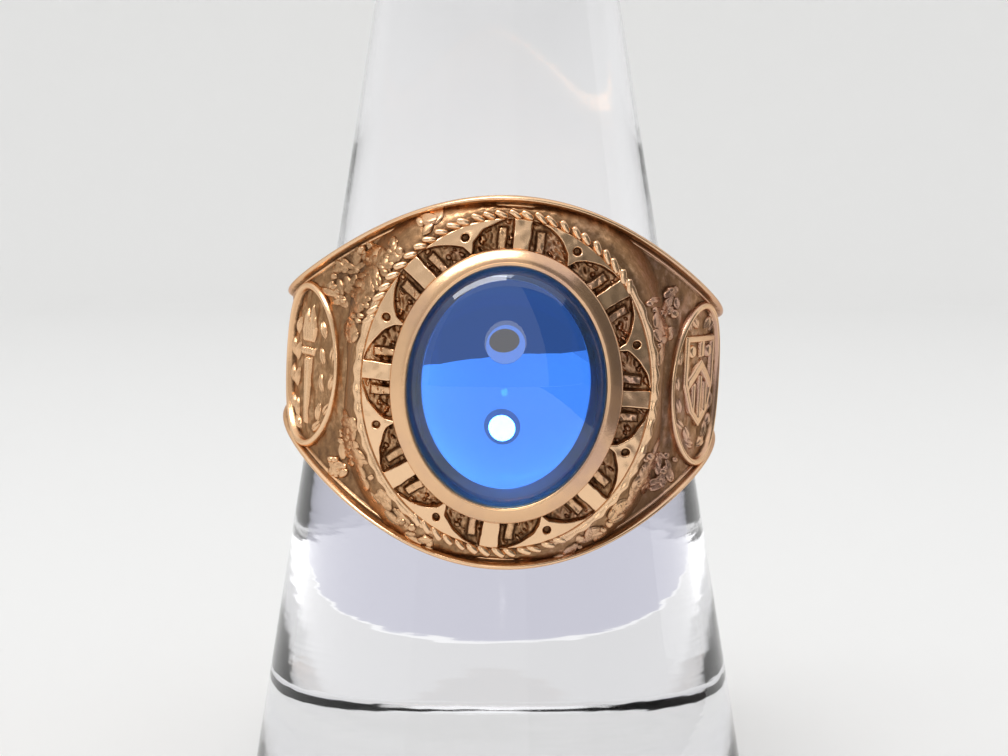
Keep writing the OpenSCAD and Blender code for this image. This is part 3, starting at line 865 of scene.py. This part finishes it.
def bezel_surface(s, h):
    """The smooth collar: a face that slopes back from a crisp inner edge, carried along the stone's oval."""
    low = h.floor_y - 0.25 * MM
    w, lip, top, drop = s.bezel_w, s.bezel_lip, h.bezel_y, s.lip_drop
    # rows: distance out from the stone's edge, place forward
    outer = [[w * 0.96, low], [w, mix(low, top, 0.4)], [w, top - 2.5 * drop], [w * 0.97, top - 1.75 * drop],
             [w * 0.84, top - 1.25 * drop], [w * 0.45, top - 0.72 * drop], [w * 0.05, top - 0.28 * drop],
             [-lip * 0.35, top - 0.03 * drop]]
    inner = [[-lip * 0.6, top], [-lip * 0.84, top - 0.12 * drop], [-lip * 0.97, top - 0.5 * drop],
             [-lip, h.lip_y + 0.1 * drop], [-lip, h.lip_y - 0.06 * MM]]
    wall = [[-lip * 0.55, h.girdle_y + 0.84 * MM], [-lip * 0.25, h.girdle_y + 0.64 * MM],
            [0.03 * MM, h.girdle_y + 0.25 * MM], [0.03 * MM, low]]
    profile = np.vstack([smooth_profile(outer + inner, 48), wall])
    turn = even_turn(h.girdle, ring_angles(320))[:, None]
    gx, gz, nx, nz = oval_frame(h.girdle, turn)
    forward = profile[:, 1] + 0.012 * MM * wavy(gx, profile[:, 0], gz, 2.2 * MM, 17)
    points = placed(gx + nx * profile[:, 0], forward, gz + nz * profile[:, 0])
    deep = 1 - ease(profile[:, 1], h.inner_y - 0.05 * MM, h.inner_y + 0.25 * MM)
    cavity = np.broadcast_to(deep, points.shape[:2]).copy()
    cavity[:, -5:] = 1
    return tube(points, cavity=cavity, wear=0.35 * (1 - cavity))


# The side panels


def polygon_depth(x, y, corners):
    """How far inside a polygon each point lies, and a negative distance outside it."""
    inside, nearest = np.zeros(x.shape, bool), np.full(x.shape, np.inf)
    for (ax, ay), (bx, by) in zip(corners, corners[1:] + corners[:1]):
        ex, ey = bx - ax, by - ay
        t = np.clip(((x - ax) * ex + (y - ay) * ey) / (ex**2 + ey**2), 0, 1)
        nearest = np.minimum(nearest, np.hypot(x - ax - t * ex, y - ay - t * ey))
        crosses = (y < ay) != (y < by)
        with np.errstate(divide="ignore", invalid="ignore"):
            inside ^= crosses & (x < ax + (y - ay) * ex / ey)
    return np.where(inside, nearest, -nearest)


def raised(depth, shoulder):
    """A rounded plateau: rises over the shoulder's width from the outline inward."""
    return np.sqrt(1 - (1 - np.clip(depth / shoulder, 0, 1))**2)


def leaf_height(x, y, foot_x, foot_y, turn, size, width):
    """A pointed leaf from its foot: a half ellipse across, a sine along, with a vein down the middle."""
    dx, dy = x - foot_x, y - foot_y
    along = (dx * math.cos(turn) + dy * math.sin(turn)) / size
    across = dy * math.cos(turn) - dx * math.sin(turn)
    reach = np.sin(np.pi * np.clip(along, 0, 1))**0.8 * width / 2
    body = np.sqrt(np.clip(1 - (across / np.maximum(reach, 1e-9))**2, 0, 1)) * (reach > 0)
    vein = 1 - 0.4 * np.exp(-(across / (0.09 * width))**2)
    return body * (0.55 + 0.45 * np.sin(np.pi * np.clip(along, 0, 1))) * vein


# Corners of the raised work, as shares of the panel's width and height from its middle
TORCH_STEM = [(-0.03, -0.36), (0.03, -0.36), (0.065, 0.05), (-0.065, 0.05)]
TORCH_CUP = [(-0.12, 0.05), (0.12, 0.05), (0.15, 0.11), (-0.15, 0.11)]
TORCH_FLAME = [(-0.1, 0.13), (0.1, 0.13), (0.14, 0.22), (0.05, 0.38), (0.02, 0.27), (-0.05, 0.35),
               (-0.13, 0.21)]
SHIELD = [(-0.3, 0.3), (0.3, 0.3), (0.3, 0.0), (0.18, -0.17), (0.0, -0.26), (-0.18, -0.17), (-0.3, 0.0)]
CHEVRON = [(-0.25, -0.06), (-0.25, 0.03), (0.0, 0.16), (0.25, 0.03), (0.25, -0.06), (0.0, 0.08)]
DISCS, DISC_R = [(-0.17, 0.2), (0.17, 0.2)], 0.045
SHIELD_BARS = [[(-0.04, 0.16), (0.04, 0.16), (0.04, 0.3), (-0.04, 0.3)],
               [(-0.03, -0.24), (0.03, -0.24), (0.03, 0.06), (-0.03, 0.06)],
               [(-0.15, -0.16), (-0.09, -0.19), (-0.09, 0.02), (-0.15, 0.0)],
               [(0.15, -0.16), (0.15, 0.0), (0.09, 0.02), (0.09, -0.19)]]
# Leaves of a sprig. Each row: place of the foot across and up the panel, turn in degrees
SPRIG_LEAVES = [(0.1, -0.4, 35), (0.19, -0.34, 80), (0.26, -0.29, 42), (0.27, -0.16, 105), (0.34, -0.14, 62),
                (0.28, 0.0, 110), (0.37, 0.02, 78), (0.29, 0.16, 118)]
SHIELD_LEAVES = [(0.03, -0.38, 20), (0.14, -0.35, 62), (0.22, -0.27, 35), (0.3, -0.18, 70),
                 (0.36, -0.05, 80), (0.06, 0.33, 40), (0.2, 0.31, 60), (0.36, 0.1, 95)]


def mirrored_leaves(x, y, rows, panel_w, panel_h):
    """Leaves on both sides of the panel's middle line."""
    height, size, width = np.zeros(x.shape), 0.14 * panel_h, 0.07 * panel_h
    for across, up, degrees in rows:
        foot_x, foot_y = across * panel_w, up * panel_h
        leaf = leaf_height(np.abs(x), y, foot_x, foot_y, math.radians(degrees), size, width)
        height = np.maximum(height, leaf)
    return height


def scaled(corners, panel_w, panel_h):
    """A polygon given in shares of the panel, at its real size."""
    return [(cx * panel_w, cy * panel_h) for cx, cy in corners]


def torch_relief(x, y, w, h):
    """A burning torch between two sprigs."""
    height = mirrored_leaves(x, y, SPRIG_LEAVES, w, h)
    for corners in (TORCH_STEM, TORCH_CUP, TORCH_FLAME):
        height = np.maximum(height, raised(polygon_depth(x, y, scaled(corners, w, h)), 0.22 * MM))
    flutes = 1 - 0.2 * ease(np.cos(x / (0.022 * w) * math.pi), 0.2, 0.9)
    return height * np.where(np.abs(x) < 0.16 * w, flutes, 1)


def shield_relief(x, y, w, h):
    """A shield with a chevron, bars and two discs, between leaves."""
    border_w, sharp, soft = 0.42 * MM, 0.12 * MM, 0.15 * MM
    outer = polygon_depth(x, y, scaled(SHIELD, w, h))
    border = raised(np.minimum(outer, border_w - outer), sharp)
    chevron = raised(polygon_depth(x, y, scaled(CHEVRON, w, h)), soft)
    height = np.maximum(border, chevron)
    for corners in SHIELD_BARS:
        height = np.maximum(height, raised(polygon_depth(x, y, scaled(corners, w, h)), sharp))
    for cx, cy in DISCS:
        height = np.maximum(height, raised(DISC_R * h - np.hypot(x - cx * w, y - cy * h), 0.2 * MM))
    return np.maximum(height, mirrored_leaves(x, y, SHIELD_LEAVES, w, h) * (outer < 0))


def panel_surface(s, side, relief):
    """One oval panel: sunk ground with raised work, the frame's rounded wire, then down into the band."""
    middle_r = float(band_radius(s, s.panel_angle))
    t = ring_angles(360)[None, :]
    inner = 1 - 2 * s.frame_w / s.panel_h
    ground = np.linspace(0.01, inner, 92)
    wire = np.linspace(inner, 1, 17)[1:]
    share = np.concatenate([ground, wire, [0.995, 0.9, 0.05]])[:, None]
    x, y = share * np.cos(t) * s.panel_w / 2, share * np.sin(t) * s.panel_h / 2
    n_ground, n_wire = len(ground), len(wire)
    work = relief(x[:n_ground], y[:n_ground], s.panel_w, s.panel_h)
    across = np.linspace(-1, 1, n_wire + 1)[1:, None]
    wire_h = s.frame_h * np.sqrt(np.clip(1 - across**2, 0, 1)) * np.ones_like(t)
    near_frame = ease(share[:n_ground], inner - 0.02, inner)
    height = np.concatenate([
        mix(-s.ground_h + s.relief_h * work, 0, near_frame), wire_h, np.full((3, t.size), -0.3 * MM)])
    points = on_band(side * s.panel_angle + x / middle_r, middle_r + height, y - s.panel_drop)
    cavity = np.concatenate([
        1.2 - 1.1 * ease(work, 0.15, 0.6), 1 - ease(wire_h, 0, 0.5 * s.frame_h), np.ones((3, t.size))])
    wire_wear = ease(wire_h, 0.6 * s.frame_h, s.frame_h)
    wear = np.concatenate([0.8 * ease(work, 0.7, 1), wire_wear, np.zeros((3, t.size))])
    return capped(points, cavity=cavity, wear=wear)


# The corner sprigs


def sprig_body(s, h, x0, z0, turn, size, width, height, is_berry):
    """A leaf or berry on the bed, raised along the bed's normal.

    A leaf is a half ellipse across under a sine along, with a vein. A berry is the same without vein or
    point.
    """
    p, across, up = lens_shape(9 if is_berry else 13, 12)
    outline = np.sin(np.pi * p)**(0.5 if is_berry else 0.8)
    vein = 1 - (0 if is_berry else 0.4) * np.exp(-(across / 0.2)**2) * (up > 0)
    rise = np.where(up > 0, up * height * np.sqrt(outline) * vein, up * 0.25 * MM)
    u, v = (p - 0.5) * size, across * outline * width / 2
    x = x0 + u * math.cos(turn) - v * math.sin(turn)
    z = z0 + u * math.sin(turn) + v * math.cos(turn)
    y, step = bed_y(s, h, x, z), 0.05 * MM
    fall_x, fall_z = y - bed_y(s, h, x + step, z), y - bed_y(s, h, x, z + step)
    normal = np.stack([fall_x, step + 0 * y, fall_z], axis=-1)
    normal /= np.linalg.norm(normal, axis=-1, keepdims=True)
    x, y, z = x + normal[..., 0] * rise, y + normal[..., 1] * rise, z + normal[..., 2] * rise
    low = 1 - ease(rise, 0.05 * height, 0.5 * height)
    # The sprigs are a little dark all over, with painted shade added on the upper left shoulder.
    dull_and_shade = 0.28 + 0.25 * painted_shoulder_shade(x, z)
    return capped(placed(x, y, z), cavity=np.maximum(low, dull_and_shade) + 0 * across,
                  wear=0.45 * ease(rise, 0.6 * height, height))


# Clusters on the shoulders, in millimetres from the middle of the head. Each row: across, up, half the
# spread across, half the spread up, slant of the spread in degrees, number of leaves, number of berries
CLUSTERS = [(-7.3, 4.6, 1.8, 1.2, 35, 44, 26), (7.85, 3.6, 0.35, 1.4, 10, 9, 8),
            (-7.7, -3.9, 0.6, 1.5, 12, 20, 13), (7.7, -4.3, 1.1, 0.8, 25, 20, 11)]
# Chains along the rope's outer side. Each row: first and last angle in degrees, number of leaves, number of
# berries
CHAINS = [(-79, -24, 34, 14), (58, 80, 8, 4), (106, 158, 32, 10), (203, 258, 32, 10)]


def sprigs_surface(s, h):
    """The sprigs between rope, rim and panels: chains of leaves along the rope, and loose clusters."""
    random = np.random.default_rng(7)
    bodies = []

    def leaf_or_berry(x, z, turn, is_berry):
        """Adds one worn body of a random size."""
        size = (random.uniform(0.28, 0.5) if is_berry else random.uniform(0.55, 1.2)) * MM
        width = size * (random.uniform(0.8, 1.1) if is_berry else random.uniform(0.34, 0.56))
        rise = random.uniform(0.1, 0.24) * MM
        bodies.append(sprig_body(s, h, x, z, turn, size, width, rise, is_berry))

    for first, last, leaves, berries in CHAINS:
        for k in range(leaves + berries):
            turn = math.radians(random.uniform(first, last))
            cx, cz, nx, nz = oval_frame(h.ledge_half, turn)
            out = random.uniform(0.12, 0.78) * MM
            lean = math.atan2(-nx, nz) + math.radians(random.uniform(-35, 50))
            leaf_or_berry(cx + nx * out, cz + nz * out, lean, k >= leaves)
    for across, up, spread_x, spread_z, slant, leaves, berries in CLUSTERS:
        for k in range(leaves + berries):
            radius, angle_of = math.sqrt(random.uniform(0, 1)), random.uniform(0, TURN)
            u, v = radius * math.cos(angle_of) * spread_x, radius * math.sin(angle_of) * spread_z
            lean = math.radians(slant) * (1 if across * up < 0 else -1)
            x = (across + u * math.cos(lean) - v * math.sin(lean)) * MM
            z = (up + u * math.sin(lean) + v * math.cos(lean)) * MM
            leaf_or_berry(x, z, random.uniform(0, TURN), k >= leaves)
    return joined(bodies)


# The stone and the cone


def dome_height(stone, h_x, h_z, x, z):
    """Height of the dome above its edge: a shallow sphere's cap, rounded down at the edge."""
    share = np.hypot(x / h_x, z / h_z)
    cap = stone.dome_h - (x**2 + z**2) / (2 * stone.crown_r)
    return np.sqrt(np.clip(1 - share**6, 0, 1)) * cap


def stone_surface(stone, h):
    """The stone: a low dome that is full at its edge, then a thin edge, a bevel and a flat back."""
    t = ring_angles(288)[None, :]
    near_edge = np.sin(np.linspace(0.445, math.pi / 2, 60))**(1 / 3)
    share = np.concatenate([np.linspace(0.015, 0.75, 30), near_edge[:-1]])[:, None]
    dome_x, dome_z = h.girdle[0] * share * np.sin(t), h.girdle[1] * share * np.cos(t)
    dome_y = h.girdle_y + dome_height(stone, *h.girdle, dome_x, dome_z)
    low = h.girdle_y - stone.girdle_t
    inset = stone.pavilion_h * stone.pavilion_spread
    # rows: distance in from the edge, place forward, share of bevel
    back, fine = h.back_y, 0.01 * MM
    under = np.array([(0, h.girdle_y, 0), (0, low, 1), (inset * 0.02, low - fine, 1),
                      (inset * 0.98, back + fine, 1), (inset, back, 0), (inset + 0.05 * MM, back, 0),
                      (inset + 1.5 * MM, back, 0)])
    from_edge, forward, bevel = under.T[:, :, None]
    x = np.concatenate([dome_x, (h.girdle[0] - from_edge) * np.sin(t)])
    z = np.concatenate([dome_z, (h.girdle[1] - from_edge) * np.cos(t)])
    y = np.concatenate([dome_y, forward + 0 * t])
    return capped(placed(x, y, z), bevel=np.concatenate([0 * share, bevel]))


def foil_surface(stone, h):
    """A thin tray just behind the stone: a bright flat oval, and a duller sheet behind the bevel."""
    t = ring_angles(160)[None, :]
    inset, gap, thick = stone.pavilion_h * stone.pavilion_spread, 0.015 * MM, 0.04 * MM
    back, low = h.back_y - gap, h.girdle_y - stone.girdle_t - 2 * gap
    middle, edge = inset + 2.5 * MM, 0.05 * inset
    # rows: distance in from the stone's edge, place forward, share of bevel
    rows = np.array([(middle, back, 0), (inset, back, 0), (inset - 0.01 * MM, back, 1), (edge, low, 1),
                     (edge, low - thick, 1), (inset, back - thick, 1), (middle, back - thick, 0)])
    from_edge, forward, bevel = rows.T[:, :, None]
    x, z = (h.girdle[0] - from_edge) * np.sin(t), (h.girdle[1] - from_edge) * np.cos(t)
    # The low value marks where the bevel's mirror is brightened by painted light, towards the bottom.
    return capped(placed(x, forward, z), bevel=bevel, low=ease(-z, 2.5 * MM, 5.5 * MM))


def cone_surface(c):
    """The display cone: a straight slope from a small bevel at the foot to a rounded tip, turned round Z."""
    foot_r, bevel = c.cone_d / 2, c.foot_bevel
    tip_r = foot_r - c.cone_slope * c.cone_h
    start = math.atan(c.cone_slope)
    tip = np.linspace(start, math.radians(88), 20)
    tip_middle = c.cone_h - tip_r
    slope_z = np.linspace(bevel, tip_middle + tip_r * math.sin(start), 40)
    z = np.concatenate([[0, 0, bevel * 0.3, bevel * 0.7], slope_z, tip_middle + tip_r * np.sin(tip)])
    foot = [foot_r * 0.3, foot_r - bevel, foot_r - 0.5 * bevel, foot_r - 0.25 * bevel]
    r = np.concatenate([foot, foot_r - c.cone_slope * slope_z, tip_r * np.cos(tip)])
    return capped(turned(r, z, 256))


# The studio


def backdrop_surface():
    """A wide floor whose edge curves up into a wall all round, turned round Z."""
    floor_r, bend, wall = 0.42, 0.16, 0.3
    arc = np.linspace(0, math.pi / 2, 14)
    floor = np.linspace(0.05, floor_r, 6)
    r = np.concatenate([[1e-6], floor, floor_r + bend * np.sin(arc), [floor_r + bend]])
    z = np.concatenate([[0], 0 * floor, bend * (1 - np.cos(arc)), [bend + wall]]) - 0.1 * MM
    grid = turned(r, z, 96)
    return Surface(grid, [grid_faces(*grid.shape[:2], False, True)])


def add_light(name, place, target, size, power):
    """An area light at a place, turned towards a target; size is its width and height."""
    light = bpy.data.lights.new(name, "AREA")
    light.shape, light.size, light.size_y, light.energy = "RECTANGLE", size[0], size[1], power
    lamp = bpy.data.objects.new(name, light)
    lamp.location = place
    lamp.rotation_mode = "QUATERNION"
    lamp.rotation_quaternion = (Vector(target) - Vector(place)).to_track_quat("-Z", "Y")
    bpy.context.scene.collection.objects.link(lamp)


def add_card(name, outline, material, seen_by):
    """A flat card of the studio. Only the named kind of ray sees it, and it casts no shadow."""
    card = add_piece(name, Surface(np.array(outline), [np.arange(len(outline))[None, :]]), material, None)
    for kind in ("camera", "diffuse", "glossy", "transmission", "volume_scatter", "shadow"):
        setattr(card, f"visible_{kind}", kind == seen_by)


def board_oval(middle, distance, across, up, half_w, half_h):
    """Corners of an oval on an upright board in front of the ring, placed from the ring's middle."""
    t = ring_angles(48)
    x, z = across + half_w * np.cos(t), up + half_h * np.sin(t)
    return np.stack([middle[0] + x * MM, np.full(t.shape, -distance * MM), middle[2] + z * MM], axis=-1)


# Upper edge of the dark side of the room, in millimetres across and up from the ring's middle, on the board
DARK_EDGE = [(-60, -29), (-26, -18.3), (-11, -13.8), (-4, -12.2), (2, -11.5), (5, -11.3), (10, -11.8),
             (20, -13.0), (43, -17.2), (70, -23)]
# Ovals on the board. Each row: name, distance, across, up, half width, half height, radiance, kind of ray
BOARD_OVALS = [("light_ring", 84.6, 1.3, -14.1, 3.15, 4.0, 0.8, "transmission"),
               ("grey_disc", 84.4, 1.5, -14.4, 2.45, 2.5, 0.01, "transmission"),
               ("lamp_halo", 84.6, 1.8, -0.63, 2.8, 3.3, 0.45, "transmission"),
               ("lamp_disc", 84.4, 1.8, -0.63, 2.0, 2.35, 24, "transmission"),
               ("front_disc", 84.2, 0.4, 14.4, 9.2, 11.3, 2.2, "glossy")]


def add_board(middle):
    """What the stone mirrors from its flat back: a dark and a bright side of the room, a lamp and a disc."""
    board, floor, mat_x, mat_y = 85 * MM, 0.2 * MM, 24 * MM, -30 * MM
    edge = [(middle[0] + x * MM, -board, middle[2] + z * MM) for x, z in DARK_EDGE]
    foot = [(edge[-1][0], -board, floor), (edge[0][0], -board, floor)]
    mat = [foot[1], foot[0], (mat_x, mat_y, floor), (-mat_x, mat_y, floor)]
    dark = card_material("dark_side", 0.29)
    add_card("dark_board", edge + foot, dark, "transmission")
    add_card("dark_mat", mat, dark, "transmission")
    behind, wide, low, high = -board - 0.4 * MM, 60 * MM, middle[2] - 16 * MM, middle[2] + 70 * MM
    bright = [(-wide, behind, low), (wide, behind, low), (wide, behind, high), (-wide, behind, high)]
    add_card("bright_board", bright, bright_side_material(middle), "transmission")
    for name, distance, across, up, half_w, half_h, radiance, kind in BOARD_OVALS:
        oval = board_oval(middle, distance, across, up, half_w, half_h)
        add_card(name, oval, card_material(name, radiance), kind)


# Cards round the object, which the metal and the stone's polish reflect. Each row: name, one corner, the
# corner across from it, radiance, tint
ROOM_CARDS = [
    ("front_room", (-0.24, -0.25, 0.001), (0.06, -0.25, 0.3), 0.62, WARM_WHITE),
    ("dim_corner", (0.06, -0.25, 0.001), (0.24, -0.25, 0.3), 0.24, WARM_WHITE),
    ("right_room", (0.2, -0.22, 0.001), (0.2, 0.0, 0.22), 0.15, WARM_WHITE),
    ("right_floor", (0.045, -0.25, 0.0004), (0.4, 0.02, 0.0004), 0.26, (1, 0.93, 0.93)),
    ("ceiling_lamp", (-0.29, -0.22, 0.36), (0.0, -0.09, 0.36), 7, WARM_WHITE),
]


def add_room():
    """A dim room in front, a dark one on the right, and a ceiling lamp."""
    for name, low, high, radiance, tint in ROOM_CARDS:
        turned = (low[0], high[1], low[2]) if low[2] == high[2] else (low[0], low[1], high[2])
        other = tuple(a + b - c for a, b, c in zip(low, high, turned))
        add_card(name, [low, other, high, turned], card_material(name, radiance, tint), "glossy")


# Glowing discs on the floor: a dim bluish one that is painted shade behind the cone, a bright ring at its
# edge that is a painted glint line, and a pale one that is painted light over the cone's own shadow round
# its foot.
# Each row: name, radius and height in millimetres, radiance, tint
MATS = [("painted_shade_floor", 60, -0.08, 0.66, (0.88, 0.88, 1)), ("painted_glint_edge", 22, -0.065, 0.95, (1, 1, 1)),
        ("painted_light_foot", 21.6, -0.05, 0.73, (1, 1, 1))]


def add_mats():
    """Discs on the floor, which are seen through the cone."""
    for name, radius, height, radiance, tint in MATS:
        disc = turned(np.array([radius * MM]), np.array([height * MM]), 96)[0]
        add_card(name, disc, card_material(name, radiance, tint), "transmission")


def camera_place(view, middle):
    """The camera's place and target, so that the ring's middle falls where it does in the photo."""
    pixels = PHOTO_W * view.lens / SENSOR_W
    back = Vector((-math.sin(view.side) * math.cos(view.elevation),
                   -math.cos(view.side) * math.cos(view.elevation), math.sin(view.elevation)))
    right = Vector((math.cos(view.side), -math.sin(view.side), 0))
    up = right.cross(-back)
    shift = right * ((PHOTO_W / 2 - view.ring_x) / pixels) + up * ((view.ring_y - PHOTO_H / 2) / pixels)
    return middle + back * view.distance, middle + shift * view.distance


def head_sizes():
    """The head's worked-out sizes, from the scene's settings."""
    scene = bpy.context.scene
    return HeadSizes(scene.ring_sizes, scene.stone_sizes)


class CLASSRING_OT_band(bpy.types.Operator):
    """Band with its rim wires and flared finger hole"""

    bl_idname = "class_ring.band"
    bl_label = "Band"

    def execute(self, context):
        ring_piece("band", band_surface(context.scene.ring_sizes, head_sizes()), ["casting"])
        return {"FINISHED"}


class CLASSRING_OT_head(bpy.types.Operator):
    """Raised head with the arcade round the stone, and its rope border"""

    bl_idname = "class_ring.head"
    bl_label = "Head"

    def execute(self, context):
        s, h = context.scene.ring_sizes, head_sizes()
        ring_piece("head", head_surface(s, h))
        ring_piece("rope_border", rope_surface(s, h))
        return {"FINISHED"}


class CLASSRING_OT_bezel(bpy.types.Operator):
    """Smooth collar that holds the stone"""

    bl_idname = "class_ring.bezel"
    bl_label = "Bezel"

    def execute(self, context):
        ring_piece("bezel", bezel_surface(context.scene.ring_sizes, head_sizes()))
        return {"FINISHED"}


class CLASSRING_OT_panels(bpy.types.Operator):
    """Oval panels on the shoulders: a torch on the left, a shield on the right"""

    bl_idname = "class_ring.panels"
    bl_label = "Side panels"

    def execute(self, context):
        s = context.scene.ring_sizes
        ring_piece("left_panel", panel_surface(s, -1, torch_relief))
        ring_piece("right_panel", panel_surface(s, 1, shield_relief))
        return {"FINISHED"}


class CLASSRING_OT_sprigs(bpy.types.Operator):
    """Leaves and berries in the corners of the shoulders"""

    bl_idname = "class_ring.sprigs"
    bl_label = "Corner sprigs"

    def execute(self, context):
        ring_piece("corner_sprigs", sprigs_surface(context.scene.ring_sizes, head_sizes()))
        return {"FINISHED"}


class CLASSRING_OT_stone(bpy.types.Operator):
    """Blue cabochon with its bright flat back"""

    bl_idname = "class_ring.stone"
    bl_label = "Stone"

    def execute(self, context):
        stone, h = context.scene.stone_sizes, head_sizes()
        cabochon, foil = stone_surface(stone, h), foil_surface(stone, h)
        cabochon.points, foil.points = on_cone(cabochon.points), on_cone(foil.points)
        sharp = math.radians(12)
        glass = kept_material("polished_blue_stone", stone_nodes)
        mirror = kept_material("stone_foil", foil_nodes)
        add_piece("cabochon", cabochon, glass, STONE_SLOT, ["stone"], sharp)
        add_piece("stone_back", foil, mirror, STONE_SLOT, sharp=sharp)
        return {"FINISHED"}


class CLASSRING_OT_cone(bpy.types.Operator):
    """Clear cone that holds the ring"""

    bl_idname = "class_ring.cone"
    bl_label = "Display cone"

    def execute(self, context):
        surface = cone_surface(context.scene.cone_sizes)
        acrylic = kept_material("scuffed_acrylic", acrylic_nodes)
        add_piece("cone", surface, acrylic, CONE_SLOT, ["display_cone"], math.radians(25))
        return {"FINISHED"}


class CLASSRING_OT_studio(bpy.types.Operator):
    """Pale floor and backdrop, soft lights, and the camera at the photograph's view"""

    bl_idname = "class_ring.studio"
    bl_label = "Studio"

    def execute(self, context):
        scene = context.scene
        x0, z0 = seat_place(scene.ring_sizes, scene.cone_sizes)
        middle = Vector((x0, 0, z0))
        paper = kept_material("backdrop_paper", paper_nodes)
        add_piece("backdrop", backdrop_surface(), paper, None)
        add_light("top_lamp", (-0.05, -0.1, 0.37), middle, (0.2, 0.1), 0.27)
        add_board(middle)
        add_room()
        add_mats()
        self.set_world(scene)
        self.add_camera(scene, middle)
        scene.view_settings.view_transform = "Standard"
        return {"FINISHED"}

    @staticmethod
    def set_world(scene):
        """Even pale light from all round."""
        world = bpy.data.worlds.new("studio")
        scene.world = world
        g = Graph(world)
        g.finish(g.node("ShaderNodeBackground", {}, {"Color": (0.95, 0.95, 0.96, 1), "Strength": 1.03}),
                 "ShaderNodeOutputWorld")

    @staticmethod
    def add_camera(scene, middle):
        """The camera, with no shift and no depth of field."""
        view = scene.camera_view
        data = bpy.data.cameras.new("camera")
        data.lens, data.sensor_width, data.clip_start, data.clip_end = view.lens, SENSOR_W, 0.005, 5
        camera = bpy.data.objects.new("camera", data)
        place, target = camera_place(view, middle)
        camera.location = place
        camera.rotation_mode = "QUATERNION"
        camera.rotation_quaternion = (target - place).to_track_quat("-Z", "Y")
        scene.collection.objects.link(camera)
        scene.camera = camera


class CLASSRING_PT_panel(bpy.types.Panel):
    """Lists the pieces and their settings"""

    bl_idname = "CLASSRING_PT_panel"
    bl_label = "Class Ring"
    bl_space_type = "VIEW_3D"
    bl_region_type = "UI"
    bl_category = "Class Ring"

    def draw(self, context):
        for operator in OPERATORS:
            self.layout.operator(operator.bl_idname)
        for name, group in GROUPS.items():
            box = self.layout.box()
            for setting in group.__annotations__:
                box.prop(getattr(context.scene, name), setting)


GROUPS = {"ring_sizes": RingSizes, "stone_sizes": StoneSizes, "cone_sizes": ConeSizes,
          "ring_colours": RingColours, "camera_view": CameraView}
OPERATORS = [CLASSRING_OT_band, CLASSRING_OT_head, CLASSRING_OT_bezel, CLASSRING_OT_panels,
             CLASSRING_OT_sprigs, CLASSRING_OT_stone, CLASSRING_OT_cone, CLASSRING_OT_studio]


def register():
    for cls in [*GROUPS.values(), *OPERATORS, CLASSRING_PT_panel]:
        bpy.utils.register_class(cls)
    for name, group in GROUPS.items():
        setattr(bpy.types.Scene, name, bpy.props.PointerProperty(type=group))


def unregister():
    for name in GROUPS:
        delattr(bpy.types.Scene, name)
    for cls in [CLASSRING_PT_panel, *reversed(OPERATORS), *reversed(GROUPS.values())]:
        bpy.utils.unregister_class(cls)


def main():
    """Builds every piece and the studio."""
    register()
    bpy.ops.class_ring.studio()
    for operator in OPERATORS[:-1]:
        getattr(bpy.ops.class_ring, operator.bl_idname.split(".")[1])()


if __name__ == "__main__":
    main()
